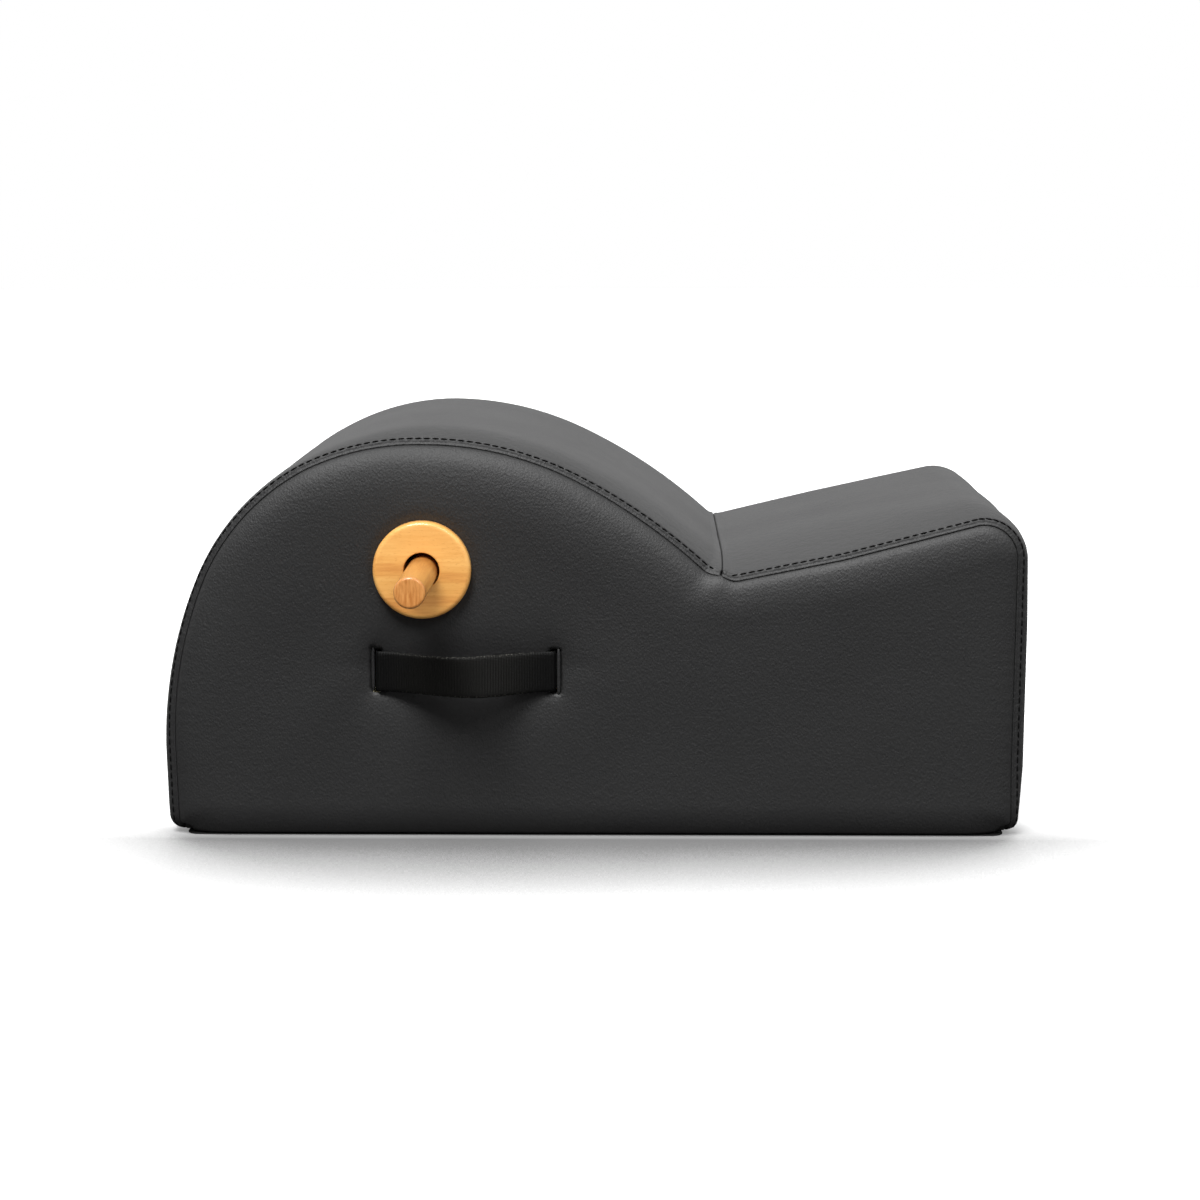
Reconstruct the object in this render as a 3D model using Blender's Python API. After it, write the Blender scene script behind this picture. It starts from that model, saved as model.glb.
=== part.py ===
# Spine corrector: a padded arc barrel with a sloping seat, a wooden dowel handle and webbing carry straps.
# Metres, +Z up. X runs along the body, from the barrel (-X) to the seat (+X), and Y through its width.
# The origin is on the floor, under the middle of the body.

import math

import bmesh
import bpy
import numpy as np
from mathutils import Vector
from mathutils.geometry import delaunay_2d_cdt

# Body outline, as a chain of tangent arcs seen from the long side
LENGTH = 0.850
DEPTH = 0.450
HEIGHT = 0.402
CROWN_X = -0.166
FLANK_RADIUS, FLANK_SWEEP = 0.415, 23.3
SHOULDER_RADIUS, SHOULDER_SWEEP = 0.232, 40.5
CROWN_LEFT_RADIUS, CROWN_LEFT_SWEEP = 0.262, 27.5
CROWN_RIGHT_RADIUS, CROWN_RIGHT_SWEEP = 0.338, 26.6
SLOPE_RADIUS = 0.586
CREASE_X = 0.1263
VALLEY_RADIUS = 0.020
SEAT_SLOPE = 13.5
CORNER_RADIUS = 0.046
END_LEAN = 0.47
CURL_RADIUS = 0.014
CURL_SWEEP = 65.0
ARC_STEP = 0.024
TURN_STEP = 15.0
STRAIGHT_STEP = 0.060

# Seam between a side panel and the perimeter band: its distance in from the outline, place by place
SEAM_FLANK = 0.0098
SEAM_SHOULDER = 0.0062
SEAM_CROWN = 0.0100
SEAM_SLOPE = 0.0120
SEAM_CREASE = 0.0085
SEAM_SEAT = 0.0155
SEAM_CORNER = 0.0085
SEAM_END = 0.0118
SEAM_FOOT = 0.0085

# Upholstery section: how far the edge rounding and the side panel's crown stand back from the widest plane
EDGE_DEPTH = 0.020
SEAM_DEPTH = 0.010
CROWN_REACH = 0.055
CROWN_POWER = 2.2
COVER = 0.0015
PAD = 0.0247
GAP = 0.0003
SLACK = 0.0012
EDGE_STEPS = 4
PANEL_RINGS = (0.010, 0.026, 0.044)
PAD_RINGS = (0.0, 0.020, 0.050)
PANEL_FOOT_ROWS = (0.0052, 0.0085, 0.0163)
PAD_FOOT_ROWS = (0.0100, 0.0163)
PANEL_FOOT_POINTS = 24
PAD_FOOT_POINTS = 14
PANEL_SPACING = 0.036
PAD_SPACING = 0.070
PANEL_CLEAR = 0.0012
PAD_CLEAR = 0.0025
RING_SLIP = 0.0012
LEAST_AREA = 1e-9

# Frame of plywood and softwood under the padding
BOTTOM_CLOTH = 0.0020
CLOTH_MARGIN = 0.0075
CLOTH_CORNER = 0.012
FOOT_GAP = BOTTOM_CLOTH + GAP
BASE_PLY = 0.012
FRAME_FLOOR = FOOT_GAP + BASE_PLY + GAP
PAD_FLOOR = 0.0065
BOARD_PLY = 0.015
BOARD_FACE = 0.200
HUMP_PLY = 0.006
SEAT_PLY = 0.012
BOARD_CUT_REACH = 0.002
RAIL_WIDTH = 0.060
RAIL_DEPTH = 0.038
RAIL_EASING = 0.003
LEFT_RAIL_SHIFT = 0.048
END_RAIL_SHIFT = 0.039

# Wooden ring bushes, dowel handle and the tube that guides it
BORE_X, BORE_Z = -0.167, 0.270
RING_RADIUS = 0.048
RING_PROUD = 0.0115
RING_ROUNDING = 0.005
SPIGOT_RADIUS = 0.025
BORE_RADIUS = 0.0175
BORE_CHAMFER = 0.0010
DOWEL_RADIUS = 0.015
DOWEL_LENGTH = 0.730
DOWEL_ROUNDING = 0.0020
DOWEL_DROP = BORE_RADIUS - DOWEL_RADIUS - GAP
TUBE_OUTER, TUBE_BORE = 0.027, 0.0185
ROUND_STEPS = 36

# Webbing carry strap on each long side, and the bound slits that it leaves through
STRAP_X, STRAP_Z = -0.1258, 0.168
STRAP_WIDTH = 0.040
STRAP_THICKNESS = 0.0026
STRAP_BOW = 0.030
STRAP_STAND_OFF = 0.0005
STRAP_BEND = 0.005
STRAP_SLANT = 38.0
STRAP_BOW_STEPS = 12
SLIT_HALF_SPAN = 0.0879
SLIT_LENGTH = 0.0415
SLIT_WIDTH = 0.0036
SLIT_ROUNDNESS = 0.9
BOARD_SLOT_CLEAR = 0.0022
LIP_RISE = 0.0035
LIP_WIDTH = 0.0050
LIP_END_SHARE = 0.5
LINING = 0.0012
LINING_DEPTH = 0.009
TAIL_LENGTH = 0.048
TAIL_BEND = 0.0045
PLATE = (0.036, 0.0020, 0.040)
PLATE_CORNER = 0.004
PLATE_SCREW_SPAN = 0.020
SCREW_RADIUS = 0.0020
SCREW_HEAD = 0.0040
SCREW_HEAD_RISE = 0.0022
SCREW_POINT = 0.003
SCREW_TIP = 0.0006
PLATE_SCREW_LENGTH = 0.014
SCREW_SIDES = 8


def direction(degrees):
    return np.array([math.cos(math.radians(degrees)), math.sin(math.radians(degrees))])


class Outline:
    # Stations along the body outline: point, outward normal and seam inset, from the left foot to the right foot
    def __init__(self):
        self.points = []
        self.normals = []
        self.insets = []
        self.marks = {}

    def turn(self, centre, radius, start, stop, inset_start, inset_stop, hollow=False):
        # An arc whose outward normal turns from start to stop, in degrees. A hollow arc bends inwards.
        sweep = abs(stop - start)
        by_length = math.ceil(math.radians(sweep) * radius / ARC_STEP)
        count = max(by_length, math.ceil(sweep / TURN_STEP))
        side = -1 if hollow else 1
        for step in range(count):
            part = step / count
            normal = direction(start + (stop - start) * part)
            self.points.append(centre + side * radius * normal)
            self.normals.append(normal)
            self.insets.append(inset_start + (inset_stop - inset_start) * part)

    def run(self, start, stop, normal, inset_start, inset_stop):
        # A straight stretch
        count = max(1, math.ceil(np.linalg.norm(stop - start) / STRAIGHT_STEP))
        for step in range(count):
            part = step / count
            self.points.append(start + (stop - start) * part)
            self.normals.append(normal)
            self.insets.append(inset_start + (inset_stop - inset_start) * part)

    def mark(self, name):
        self.marks[name] = len(self.points)

    def close(self, point, normal, inset):
        self.mark("end")
        self.points.append(point)
        self.normals.append(normal)
        self.insets.append(inset)
        self.points = np.array(self.points)
        self.normals = np.array(self.normals)
        self.insets = np.array(self.insets)

    def inner(self, depth, first="start", last="end"):
        # The parallel curve at a depth below the outline, between two marks
        chosen = slice(self.marks[first], self.marks[last] + 1)
        return (self.points - self.normals * depth)[chosen]


def body_outline():
    outline = Outline()
    flank_end = 90 + CROWN_LEFT_SWEEP + SHOULDER_SWEEP + FLANK_SWEEP
    shoulder_end = flank_end - FLANK_SWEEP
    crown_end = 90 + CROWN_LEFT_SWEEP
    crown = np.array([CROWN_X, HEIGHT])
    left_centre = crown - CROWN_LEFT_RADIUS * direction(90)
    shoulder_centre = left_centre + (CROWN_LEFT_RADIUS - SHOULDER_RADIUS) * direction(crown_end)
    flank_centre = shoulder_centre + (SHOULDER_RADIUS - FLANK_RADIUS) * direction(shoulder_end)

    # Left wall, straight down from the flank to the curl at the foot
    normal = direction(flank_end)
    down = np.array([-normal[1], normal[0]])
    wall_top = flank_centre + FLANK_RADIUS * normal
    curl_z = FOOT_GAP + CURL_RADIUS
    reach = (curl_z - wall_top[1] + CURL_RADIUS * normal[1]) / down[1]
    curl_centre = wall_top + reach * down - CURL_RADIUS * normal
    outline.mark("start")
    outline.turn(curl_centre, CURL_RADIUS, flank_end + CURL_SWEEP, flank_end, SEAM_FOOT, SEAM_FLANK)
    outline.mark("left_wall")
    outline.run(curl_centre + CURL_RADIUS * normal, wall_top, normal, SEAM_FLANK, SEAM_FLANK)
    outline.mark("flank")
    outline.turn(flank_centre, FLANK_RADIUS, flank_end, shoulder_end, SEAM_FLANK, SEAM_SHOULDER)
    outline.turn(shoulder_centre, SHOULDER_RADIUS, shoulder_end, crown_end, SEAM_SHOULDER, SEAM_SHOULDER)
    outline.turn(left_centre, CROWN_LEFT_RADIUS, crown_end, 90, SEAM_SHOULDER, SEAM_CROWN)

    # Right side of the barrel, down to the crease
    outline.mark("crown")
    right_centre = crown - CROWN_RIGHT_RADIUS * direction(90)
    slope_start = 90 - CROWN_RIGHT_SWEEP
    slope_centre = right_centre + (CROWN_RIGHT_RADIUS - SLOPE_RADIUS) * direction(slope_start)
    outline.turn(right_centre, CROWN_RIGHT_RADIUS, 90, slope_start, SEAM_CROWN, SEAM_CROWN)
    crease_z = slope_centre[1] + math.sqrt(SLOPE_RADIUS**2 - (CREASE_X - slope_centre[0]) ** 2)
    crease = np.array([CREASE_X, crease_z])

    # The valley's fillet touches the slope arc and the seat line from above
    seat_normal = direction(90 + SEAT_SLOPE)
    seat_along = np.array([seat_normal[1], -seat_normal[0]])
    start = crease + seat_normal * VALLEY_RADIUS - slope_centre
    middle = -np.dot(start, seat_along)
    height = np.dot(start, seat_normal)
    along = middle + math.sqrt((SLOPE_RADIUS + VALLEY_RADIUS) ** 2 - height**2)
    valley_centre = crease + seat_normal * VALLEY_RADIUS + seat_along * along
    toward = valley_centre - slope_centre
    slope_end = math.degrees(math.atan2(toward[1], toward[0]))
    crease_turn = (slope_end + 90 + SEAT_SLOPE) / 2
    outline.turn(slope_centre, SLOPE_RADIUS, slope_start, slope_end, SEAM_CROWN, SEAM_SLOPE)
    outline.turn(valley_centre, VALLEY_RADIUS, slope_end, crease_turn, SEAM_SLOPE, SEAM_CREASE, hollow=True)
    outline.mark("crease")
    outline.turn(
        valley_centre, VALLEY_RADIUS, crease_turn, 90 + SEAT_SLOPE, SEAM_CREASE, SEAM_SLOPE, hollow=True
    )

    # Seat, corner and right wall
    outline.mark("seat")
    seat_start = valley_centre - VALLEY_RADIUS * seat_normal
    corner_x = LENGTH / 2 - CORNER_RADIUS
    reach = (corner_x + CORNER_RADIUS * seat_normal[0] - seat_start[0]) / seat_along[0]
    seat_end = seat_start + reach * seat_along
    seat_middle = seat_start + 0.45 * reach * seat_along
    corner_centre = seat_end - CORNER_RADIUS * seat_normal
    corner_turn = (90 + SEAT_SLOPE) / 2
    outline.run(seat_start, seat_middle, seat_normal, SEAM_SLOPE, SEAM_SEAT)
    outline.run(seat_middle, seat_end, seat_normal, SEAM_SEAT, SEAM_END)
    outline.mark("corner_start")
    outline.turn(corner_centre, CORNER_RADIUS, 90 + SEAT_SLOPE, corner_turn, SEAM_END, SEAM_CORNER)
    outline.mark("corner")
    outline.turn(corner_centre, CORNER_RADIUS, corner_turn, -END_LEAN, SEAM_CORNER, SEAM_END)
    outline.mark("right_wall")
    normal = direction(-END_LEAN)
    down = np.array([normal[1], -normal[0]])
    wall_top = corner_centre + CORNER_RADIUS * normal
    reach = (curl_z - wall_top[1] + CURL_RADIUS * normal[1]) / down[1]
    curl_centre = wall_top + reach * down - CURL_RADIUS * normal
    outline.run(wall_top, curl_centre + CURL_RADIUS * normal, normal, SEAM_END, SEAM_FOOT)
    outline.mark("right_foot")
    outline.turn(curl_centre, CURL_RADIUS, -END_LEAN, -END_LEAN - CURL_SWEEP, SEAM_FOOT, SEAM_FOOT)
    last = direction(-END_LEAN - CURL_SWEEP)
    outline.close(curl_centre + CURL_RADIUS * last, last, SEAM_FOOT)
    return outline


def make_material(name, colour, roughness, metallic=0.0):
    material = bpy.data.materials.new(name)
    material.use_nodes = True
    shader = material.node_tree.nodes["Principled BSDF"]
    shader.inputs["Base Color"].default_value = (*colour, 1.0)
    shader.inputs["Roughness"].default_value = roughness
    shader.inputs["Metallic"].default_value = metallic
    material.diffuse_color = (*colour, 1.0)
    return material


def add_object(name, points, faces, material, location=(0, 0, 0), smooth=True):
    mesh = bpy.data.meshes.new(name)
    mesh.from_pydata([tuple(point) for point in points], [], [tuple(face) for face in faces])
    bm = bmesh.new()
    bm.from_mesh(mesh)
    bmesh.ops.recalc_face_normals(bm, faces=bm.faces)
    bm.to_mesh(mesh)
    bm.free()
    mesh.materials.append(material)
    if smooth:
        mesh.shade_smooth()
        mesh.set_sharp_from_angle(angle=math.radians(30))
    item = bpy.data.objects.new(name, mesh)
    item.location = location
    bpy.context.scene.collection.objects.link(item)
    return item


def as_cutter(item):
    item.hide_render = True
    item.display_type = "WIRE"
    return item


def cut(item, cutter):
    modifier = item.modifiers.new("Cut " + cutter.name, "BOOLEAN")
    modifier.operation = "DIFFERENCE"
    modifier.solver = "EXACT"
    modifier.object = as_cutter(cutter)


def prism_mesh(polygon, low, high):
    # A polygon in X and Z, drawn out along Y
    count = len(polygon)
    points = [(x, y, z) for y in (low, high) for x, z in polygon]
    faces = [tuple(range(count)), tuple(range(2 * count - 1, count - 1, -1))]
    for index in range(count):
        after = (index + 1) % count
        faces.append((index, after, count + after, count + index))
    return points, faces


def plan_mesh(polygon, low, high):
    # A polygon in X and Y, drawn out along Z
    points, faces = prism_mesh(polygon, low, high)
    return [(x, z, y) for x, y, z in points], faces


def turned_mesh(profile, steps):
    # A closed profile of (radius, place along Y) turned round the Y axis
    points = []
    for step in range(steps):
        cosine, sine = direction(360 * step / steps)
        points += [(radius * cosine, along, radius * sine) for radius, along in profile]
    count = len(profile)
    faces = []
    for step in range(steps):
        base = step * count
        following = (step + 1) % steps * count
        for index in range(count):
            after = (index + 1) % count
            faces.append((base + index, base + after, following + after, following + index))
    return points, faces


def rod_mesh(profile, steps):
    # The same for a solid whose profile is open at the axis and closes with flat ends
    points, ring = turned_mesh(profile, steps)
    count = len(profile)
    faces = [face for number, face in enumerate(ring) if number % count != count - 1]
    faces.append(tuple(step * count for step in range(steps)))
    faces.append(tuple(step * count + count - 1 for step in range(steps - 1, -1, -1)))
    return points, faces


def join_meshes(meshes):
    points, faces = [], []
    for some_points, some_faces in meshes:
        faces += [tuple(index + len(points) for index in face) for face in some_faces]
        points += list(some_points)
    return points, faces


def moved(mesh, x=0.0, y=0.0, z=0.0, flip=False):
    # A copy at another place, turned round to face the other way along Y where flip is set
    side = -1 if flip else 1
    points, faces = mesh
    return [(px + x, side * py + y, pz + z) for px, py, pz in points], faces


def slot_loop(centre_x, centre_z, half_width, half_length, end_steps=4):
    # A long slot with rounded corners, anticlockwise in X and Z
    corner = half_width * SLIT_ROUNDNESS
    loop = []
    for quarter, (side_x, side_z) in enumerate(((1, 1), (-1, 1), (-1, -1), (1, -1))):
        middle = np.array([side_x * (half_width - corner), side_z * (half_length - corner)])
        for step in range(end_steps + 1):
            point = middle + corner * direction(90 * quarter + 90 * step / end_steps)
            loop.append((centre_x + point[0], centre_z + point[1]))
    return loop


def circle_loop(centre_x, centre_z, radius, steps=ROUND_STEPS):
    turns = [direction(360 * step / steps) for step in range(steps)]
    return [(centre_x + radius * x, centre_z + radius * z) for x, z in turns]


def arc_points(centre, radius, start, stop, steps):
    # Points on a small arc, both ends included
    return [
        tuple(np.array(centre) + radius * direction(start + (stop - start) * step / steps))
        for step in range(steps + 1)
    ]


def inside(points, loop):
    # Crossing count of a ray from each point along +X
    loop = np.array(loop)
    after = np.roll(loop, -1, axis=0)
    x, z = points[:, :1], points[:, 1:]
    crosses = (loop[:, 1] > z) != (after[:, 1] > z)
    rise = after[:, 1] - loop[:, 1]
    rise = np.where(rise == 0, 1, rise)
    at = loop[:, 0] + (z - loop[:, 1]) * (after[:, 0] - loop[:, 0]) / rise
    return (crosses & (x < at)).sum(axis=1) % 2 == 1


def distance_to(points, path, closed=False):
    # Least distance from each point to a polyline, and the place on it as a station number
    path = np.array(path)
    if closed:
        path = np.vstack([path, path[:1]])
    start, step = path[:-1], path[1:] - path[:-1]
    offset = points[:, None] - start[None]
    part = np.clip((offset * step).sum(axis=2) / (step**2).sum(axis=1), 0, 1)
    gap = np.linalg.norm(offset - part[..., None] * step, axis=2)
    nearest = gap.argmin(axis=1)
    rows = np.arange(len(points))
    return gap[rows, nearest], nearest + part[rows, nearest]


def curl_depth(z):
    # How far the foot of a side stands back as it curls under
    drop = np.clip(CURL_RADIUS - (z - FOOT_GAP), 0, CURL_RADIUS)
    return CURL_RADIUS - np.sqrt(CURL_RADIUS**2 - drop**2)


def crown_depth(points, outline, below, to_edge):
    # Depth behind the widest plane of a surface that lies this far below the side's crowned face
    reach, station = distance_to(points, outline.points)
    inset = np.interp(station, range(len(outline.insets)), outline.insets)
    within = np.clip((reach - inset) / CROWN_REACH, 0, 1)
    depth = SEAM_DEPTH * (1 - within) ** CROWN_POWER + below
    if to_edge:
        part = np.clip((inset - reach) / (inset - below), 0, 1)
        rounded = EDGE_DEPTH - (EDGE_DEPTH - SEAM_DEPTH - below) * np.sqrt(1 - part**2)
        depth = np.where(reach < inset, rounded, depth)
    return depth + curl_depth(points[:, 1])


def foot_edge(right, left, z, count):
    # Points along a side's lower edge, from right to left, closer together near its ends
    turns = np.linspace(0, math.pi, count)
    return [(right + (left - right) * (1 - math.cos(turn)) / 2, z) for turn in turns]


def sheet_triangles(outer, holes, lines, extra_points):
    # Constrained triangles from an outer loop to its holes, along the lines and through the extra points
    loops = [outer, *holes]
    points = [Vector(point) for loop in loops for point in loop]
    edges = []
    base = 0
    for loop in loops:
        edges += [(base + index, base + (index + 1) % len(loop)) for index in range(len(loop))]
        base += len(loop)
    for line in lines:
        edges += [(base + index, base + index + 1) for index in range(len(line) - 1)]
        points += [Vector(point) for point in line]
        base += len(line)
    points += [Vector(point) for point in extra_points]
    found, _, triangles, *_ = delaunay_2d_cdt(points, edges, [], 0, 1e-7)
    found = np.array([tuple(point) for point in found])
    corners = found[np.array([list(face) for face in triangles])]
    side_a, side_b = corners[:, 1] - corners[:, 0], corners[:, 2] - corners[:, 0]
    area = np.abs(side_a[:, 0] * side_b[:, 1] - side_a[:, 1] * side_b[:, 0]) / 2
    middles = corners.mean(axis=1)
    keep = inside(middles, outer) & (area > LEAST_AREA)
    for hole in holes:
        keep &= ~inside(middles, hole)
    return found, [face for face, kept in zip(triangles, keep) if kept]


def spread_points(outer, holes, outline, rings, spacing, foot_top, clear):
    # Rings that follow the seam, then an even grid above the curled foot, all clear of the borders
    chosen = []
    for ring in rings:
        depth = outline.insets + ring
        curve = outline.points - outline.normals * depth[:, None]
        reach, station = distance_to(curve, outline.points)
        wanted = np.interp(station, range(len(depth)), depth)
        chosen.append(curve[reach > wanted - RING_SLIP])
    low, high = np.array(outer).min(axis=0), np.array(outer).max(axis=0)
    for number, z in enumerate(np.arange(foot_top + spacing / 2, high[1], spacing * 0.87)):
        across = np.arange(low[0] + spacing / 2 * (number % 2), high[0], spacing)
        row = np.column_stack([across, np.full(len(across), z)])
        reach, station = distance_to(row, outline.points)
        deepest = np.interp(station, range(len(outline.insets)), outline.insets) + rings[-1]
        chosen.append(row[reach > deepest + spacing * 0.4])
    points = np.vstack(chosen)
    keep = inside(points, outer) & (points[:, 1] > foot_top + clear)
    for loop in (outer, *holes):
        away, _ = distance_to(points, loop, closed=True)
        keep &= away > clear
    for hole in holes:
        keep &= ~inside(points, hole)
    return [tuple(point) for point in points[keep]]


def side_mesh(outer, holes, lines, extra_points, front_depth, back_depth, back_is_flat):
    # A sheet or slab on the long side: a crowned face, a back, and walls round its border and holes
    face, triangles = sheet_triangles(outer, holes, lines, extra_points)
    loops = [outer, *holes]
    half = DEPTH / 2
    front = [(x, half - depth, z) for (x, z), depth in zip(face, front_depth(face))]
    if back_is_flat:
        back_face, back_triangles = sheet_triangles(outer, holes, [], [])
    else:
        back_face, back_triangles = face, triangles
    back = [(x, half - depth, z) for (x, z), depth in zip(back_face, back_depth(back_face))]
    faces = [tuple(triangle) for triangle in triangles]
    shift = len(front)
    faces += [tuple(index + shift for index in reversed(triangle)) for triangle in back_triangles]
    base = 0
    for loop in loops:
        for index in range(len(loop)):
            a, b = base + index, base + (index + 1) % len(loop)
            faces.append((a, b, b + shift, a + shift))
        base += len(loop)
    return front + back, faces


def material_set():
    return {
        "cover": make_material("Charcoal leatherette", (0.030, 0.030, 0.032), 0.45),
        "welt": make_material("Leatherette piping", (0.045, 0.045, 0.048), 0.38),
        "foam": make_material("Upholstery foam", (0.62, 0.60, 0.52), 0.95),
        "ply": make_material("Birch plywood", (0.60, 0.43, 0.25), 0.60),
        "pine": make_material("Planed softwood", (0.66, 0.47, 0.26), 0.65),
        "beech": make_material("Varnished beech", (0.82, 0.42, 0.14), 0.30),
        "dowel": make_material("Varnished beech rod", (0.72, 0.33, 0.09), 0.32),
        "tube": make_material("Wound card tube", (0.34, 0.24, 0.15), 0.85),
        "webbing": make_material("Black webbing", (0.012, 0.012, 0.012), 0.70),
        "steel": make_material("Zinc plated steel", (0.62, 0.62, 0.60), 0.35, 1.0),
        "cloth": make_material("Black bottom cloth", (0.015, 0.015, 0.016), 0.85),
    }


def clipped_above(path, floor):
    # The stretch of an open path that lies above a height, with its ends brought onto it
    path = [np.array(point) for point in path]
    kept = [point for point in path if point[1] > floor]
    first = next(index for index, point in enumerate(path) if point[1] > floor)
    last = len(path) - 1 - next(index for index, point in enumerate(path[::-1]) if point[1] > floor)

    def crossing(outer_point, inner_point):
        part = (floor - outer_point[1]) / (inner_point[1] - outer_point[1])
        return outer_point + part * (inner_point - outer_point)

    if first > 0:
        kept.insert(0, crossing(path[first - 1], path[first]))
    if last < len(path) - 1:
        kept.append(crossing(path[last + 1], path[last]))
    return np.array(kept)


def layer(outline, depth, first, last, trim_first=0.0, trim_last=0.0):
    # A parallel curve below the outline, with its ends drawn back along the way it runs
    curve = outline.inner(depth, first, last)
    for end, mark, trim in ((0, first, trim_first), (-1, last, -trim_last)):
        normal = outline.normals[outline.marks[mark]]
        curve[end] += trim * np.array([normal[1], -normal[0]])
    return curve


def strip_polygon(upper, lower):
    return [tuple(point) for point in upper] + [tuple(point) for point in lower[::-1]]


def down_to(curve, floor, end):
    # The curve with one end carried straight down to a height
    foot = np.array([[curve[end][0], floor]])
    return np.vstack([foot, curve]) if end == 0 else np.vstack([curve, foot])


def build_padding(outline, materials):
    top, bottom = COVER + GAP, COVER + GAP + PAD
    outer = clipped_above(layer(outline, top, "start", "crease", 0, GAP / 2), PAD_FLOOR)
    inner = down_to(layer(outline, bottom, "left_wall", "crease", 0, GAP / 2), PAD_FLOOR, 0)
    pieces = [("hump_foam", strip_polygon(outer, inner))]
    outer = layer(outline, top, "crease", "corner", GAP / 2, GAP / 2)
    inner = layer(outline, bottom, "crease", "corner", GAP / 2, GAP / 2)
    pieces.append(("seat_foam", strip_polygon(outer, inner)))
    outer = clipped_above(layer(outline, top, "corner", "end", GAP / 2, 0), PAD_FLOOR)
    inner = down_to(layer(outline, bottom, "corner", "right_foot", GAP / 2, 0), PAD_FLOOR, -1)
    pieces.append(("end_foam", strip_polygon(outer, inner)))
    for name, polygon in pieces:
        points, faces = prism_mesh(polygon, -BOARD_FACE, BOARD_FACE)
        add_object(name, points, faces, materials["foam"])


def side_holes(ring_clearance, slot_clearance, end_steps=4):
    # Openings in a side layer: the bush's spigot, then the two strap slits
    holes = [circle_loop(BORE_X, BORE_Z, SPIGOT_RADIUS + ring_clearance, 24)]
    for side in (-1, 1):
        centre = STRAP_X + side * SLIT_HALF_SPAN
        half_width = SLIT_WIDTH / 2 + slot_clearance
        half_length = SLIT_LENGTH / 2 + slot_clearance
        holes.append(slot_loop(centre, STRAP_Z, half_width, half_length, end_steps))
    return holes


def build_side_pads(outline, materials):
    extra = COVER + SLACK
    path = clipped_above(outline.inner(extra), PAD_FLOOR)
    edge = foot_edge(path[-1][0], path[0][0], PAD_FLOOR, PAD_FOOT_POINTS)[1:-1]
    outer = [tuple(point) for point in path] + edge
    holes = side_holes(SLACK, LINING + SLACK, 2)
    lines = [[(x, z) for x, _ in edge] for z in PAD_FOOT_ROWS]
    inner_points = spread_points(
        outer, holes, outline, PAD_RINGS, PAD_SPACING, PAD_FOOT_ROWS[-1], PAD_CLEAR
    )
    back = DEPTH / 2 - BOARD_FACE - GAP
    mesh = side_mesh(
        outer,
        holes,
        lines,
        inner_points,
        lambda face: crown_depth(face, outline, extra, True),
        lambda face: np.full(len(face), back),
        True,
    )
    add_object("rear_side_foam", *mesh, materials["foam"])
    add_object("front_side_foam", *moved(mesh, flip=True), materials["foam"])


def build_side_covers(outline, materials):
    seam = outline.points - outline.normals * (outline.insets + GAP)[:, None]
    foot = FOOT_GAP + CURL_RADIUS * (1 - math.sin(math.radians(CURL_SWEEP)))
    edge = foot_edge(seam[-1][0], seam[0][0], foot, PANEL_FOOT_POINTS)
    outer = [tuple(point) for point in seam] + edge
    lines = [[(x, z) for x, _ in edge[1:-1]] for z in PANEL_FOOT_ROWS]
    holes = side_holes(SLACK, LINING + GAP)
    inner_points = spread_points(
        outer, holes, outline, PANEL_RINGS, PANEL_SPACING, PANEL_FOOT_ROWS[-1], PANEL_CLEAR
    )
    mesh = side_mesh(
        outer,
        holes,
        lines,
        inner_points,
        lambda face: crown_depth(face, outline, 0.0, False),
        lambda face: crown_depth(face, outline, COVER, False),
        False,
    )
    add_object("rear_side_cover", *mesh, materials["cover"])
    add_object("front_side_cover", *moved(mesh, flip=True), materials["cover"])


def band_mesh(outline, first, last, trim_first, trim_last):
    # The perimeter cover: flat across the width, rounded over each long edge down to the side's seam
    chosen = range(outline.marks[first], outline.marks[last] + 1)
    turns = [math.radians(90 * step / EDGE_STEPS) for step in range(EDGE_STEPS + 1)]
    points = []
    for station in chosen:
        normal, inset = outline.normals[station], outline.insets[station]
        along = np.array([normal[1], -normal[0]])
        trim = trim_first if station == chosen[0] else 0
        trim = -trim_last if station == chosen[-1] else trim
        start = outline.points[station] + trim * along
        for skin in (0.0, COVER):
            half = []
            for turn in turns:
                place = start - normal * (inset - (inset - skin) * math.sin(turn))
                stand = DEPTH / 2 - EDGE_DEPTH + (EDGE_DEPTH - SEAM_DEPTH - skin) * math.cos(turn)
                half.append((place, stand))
            points += [(place[0], -stand, place[1]) for place, stand in half]
            points += [(place[0], stand, place[1]) for place, stand in reversed(half)]
    across = 2 * (EDGE_STEPS + 1)
    faces = []
    for row in range(len(chosen)):
        base = 2 * across * row
        if row < len(chosen) - 1:
            following = base + 2 * across
            for index in range(across - 1):
                low, high = base + index, following + index
                faces.append((low, low + 1, high + 1, high))
                faces.append((low + across + 1, low + across, high + across, high + across + 1))
            for low, high in ((base, following), (base + across - 1, following + across - 1)):
                faces.append((low, low + across, high + across, high))
        if row in (0, len(chosen) - 1):
            for low in range(base, base + across - 1):
                faces.append((low, low + 1, low + across + 1, low + across))
    return points, faces


def build_band_covers(outline, materials):
    mesh = band_mesh(outline, "start", "crease", 0, GAP / 2)
    add_object("hump_cover", *mesh, materials["cover"])
    mesh = band_mesh(outline, "crease", "end", GAP / 2, 0)
    add_object("seat_cover", *mesh, materials["cover"])


def rounded_rectangle(half_x, half_y, radius, steps=4):
    loop = []
    for quarter, (side_x, side_y) in enumerate(((1, 1), (-1, 1), (-1, -1), (1, -1))):
        centre = (side_x * (half_x - radius), side_y * (half_y - radius))
        loop += arc_points(centre, radius, 90 * quarter, 90 * quarter + 90, steps)
    return loop


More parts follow.
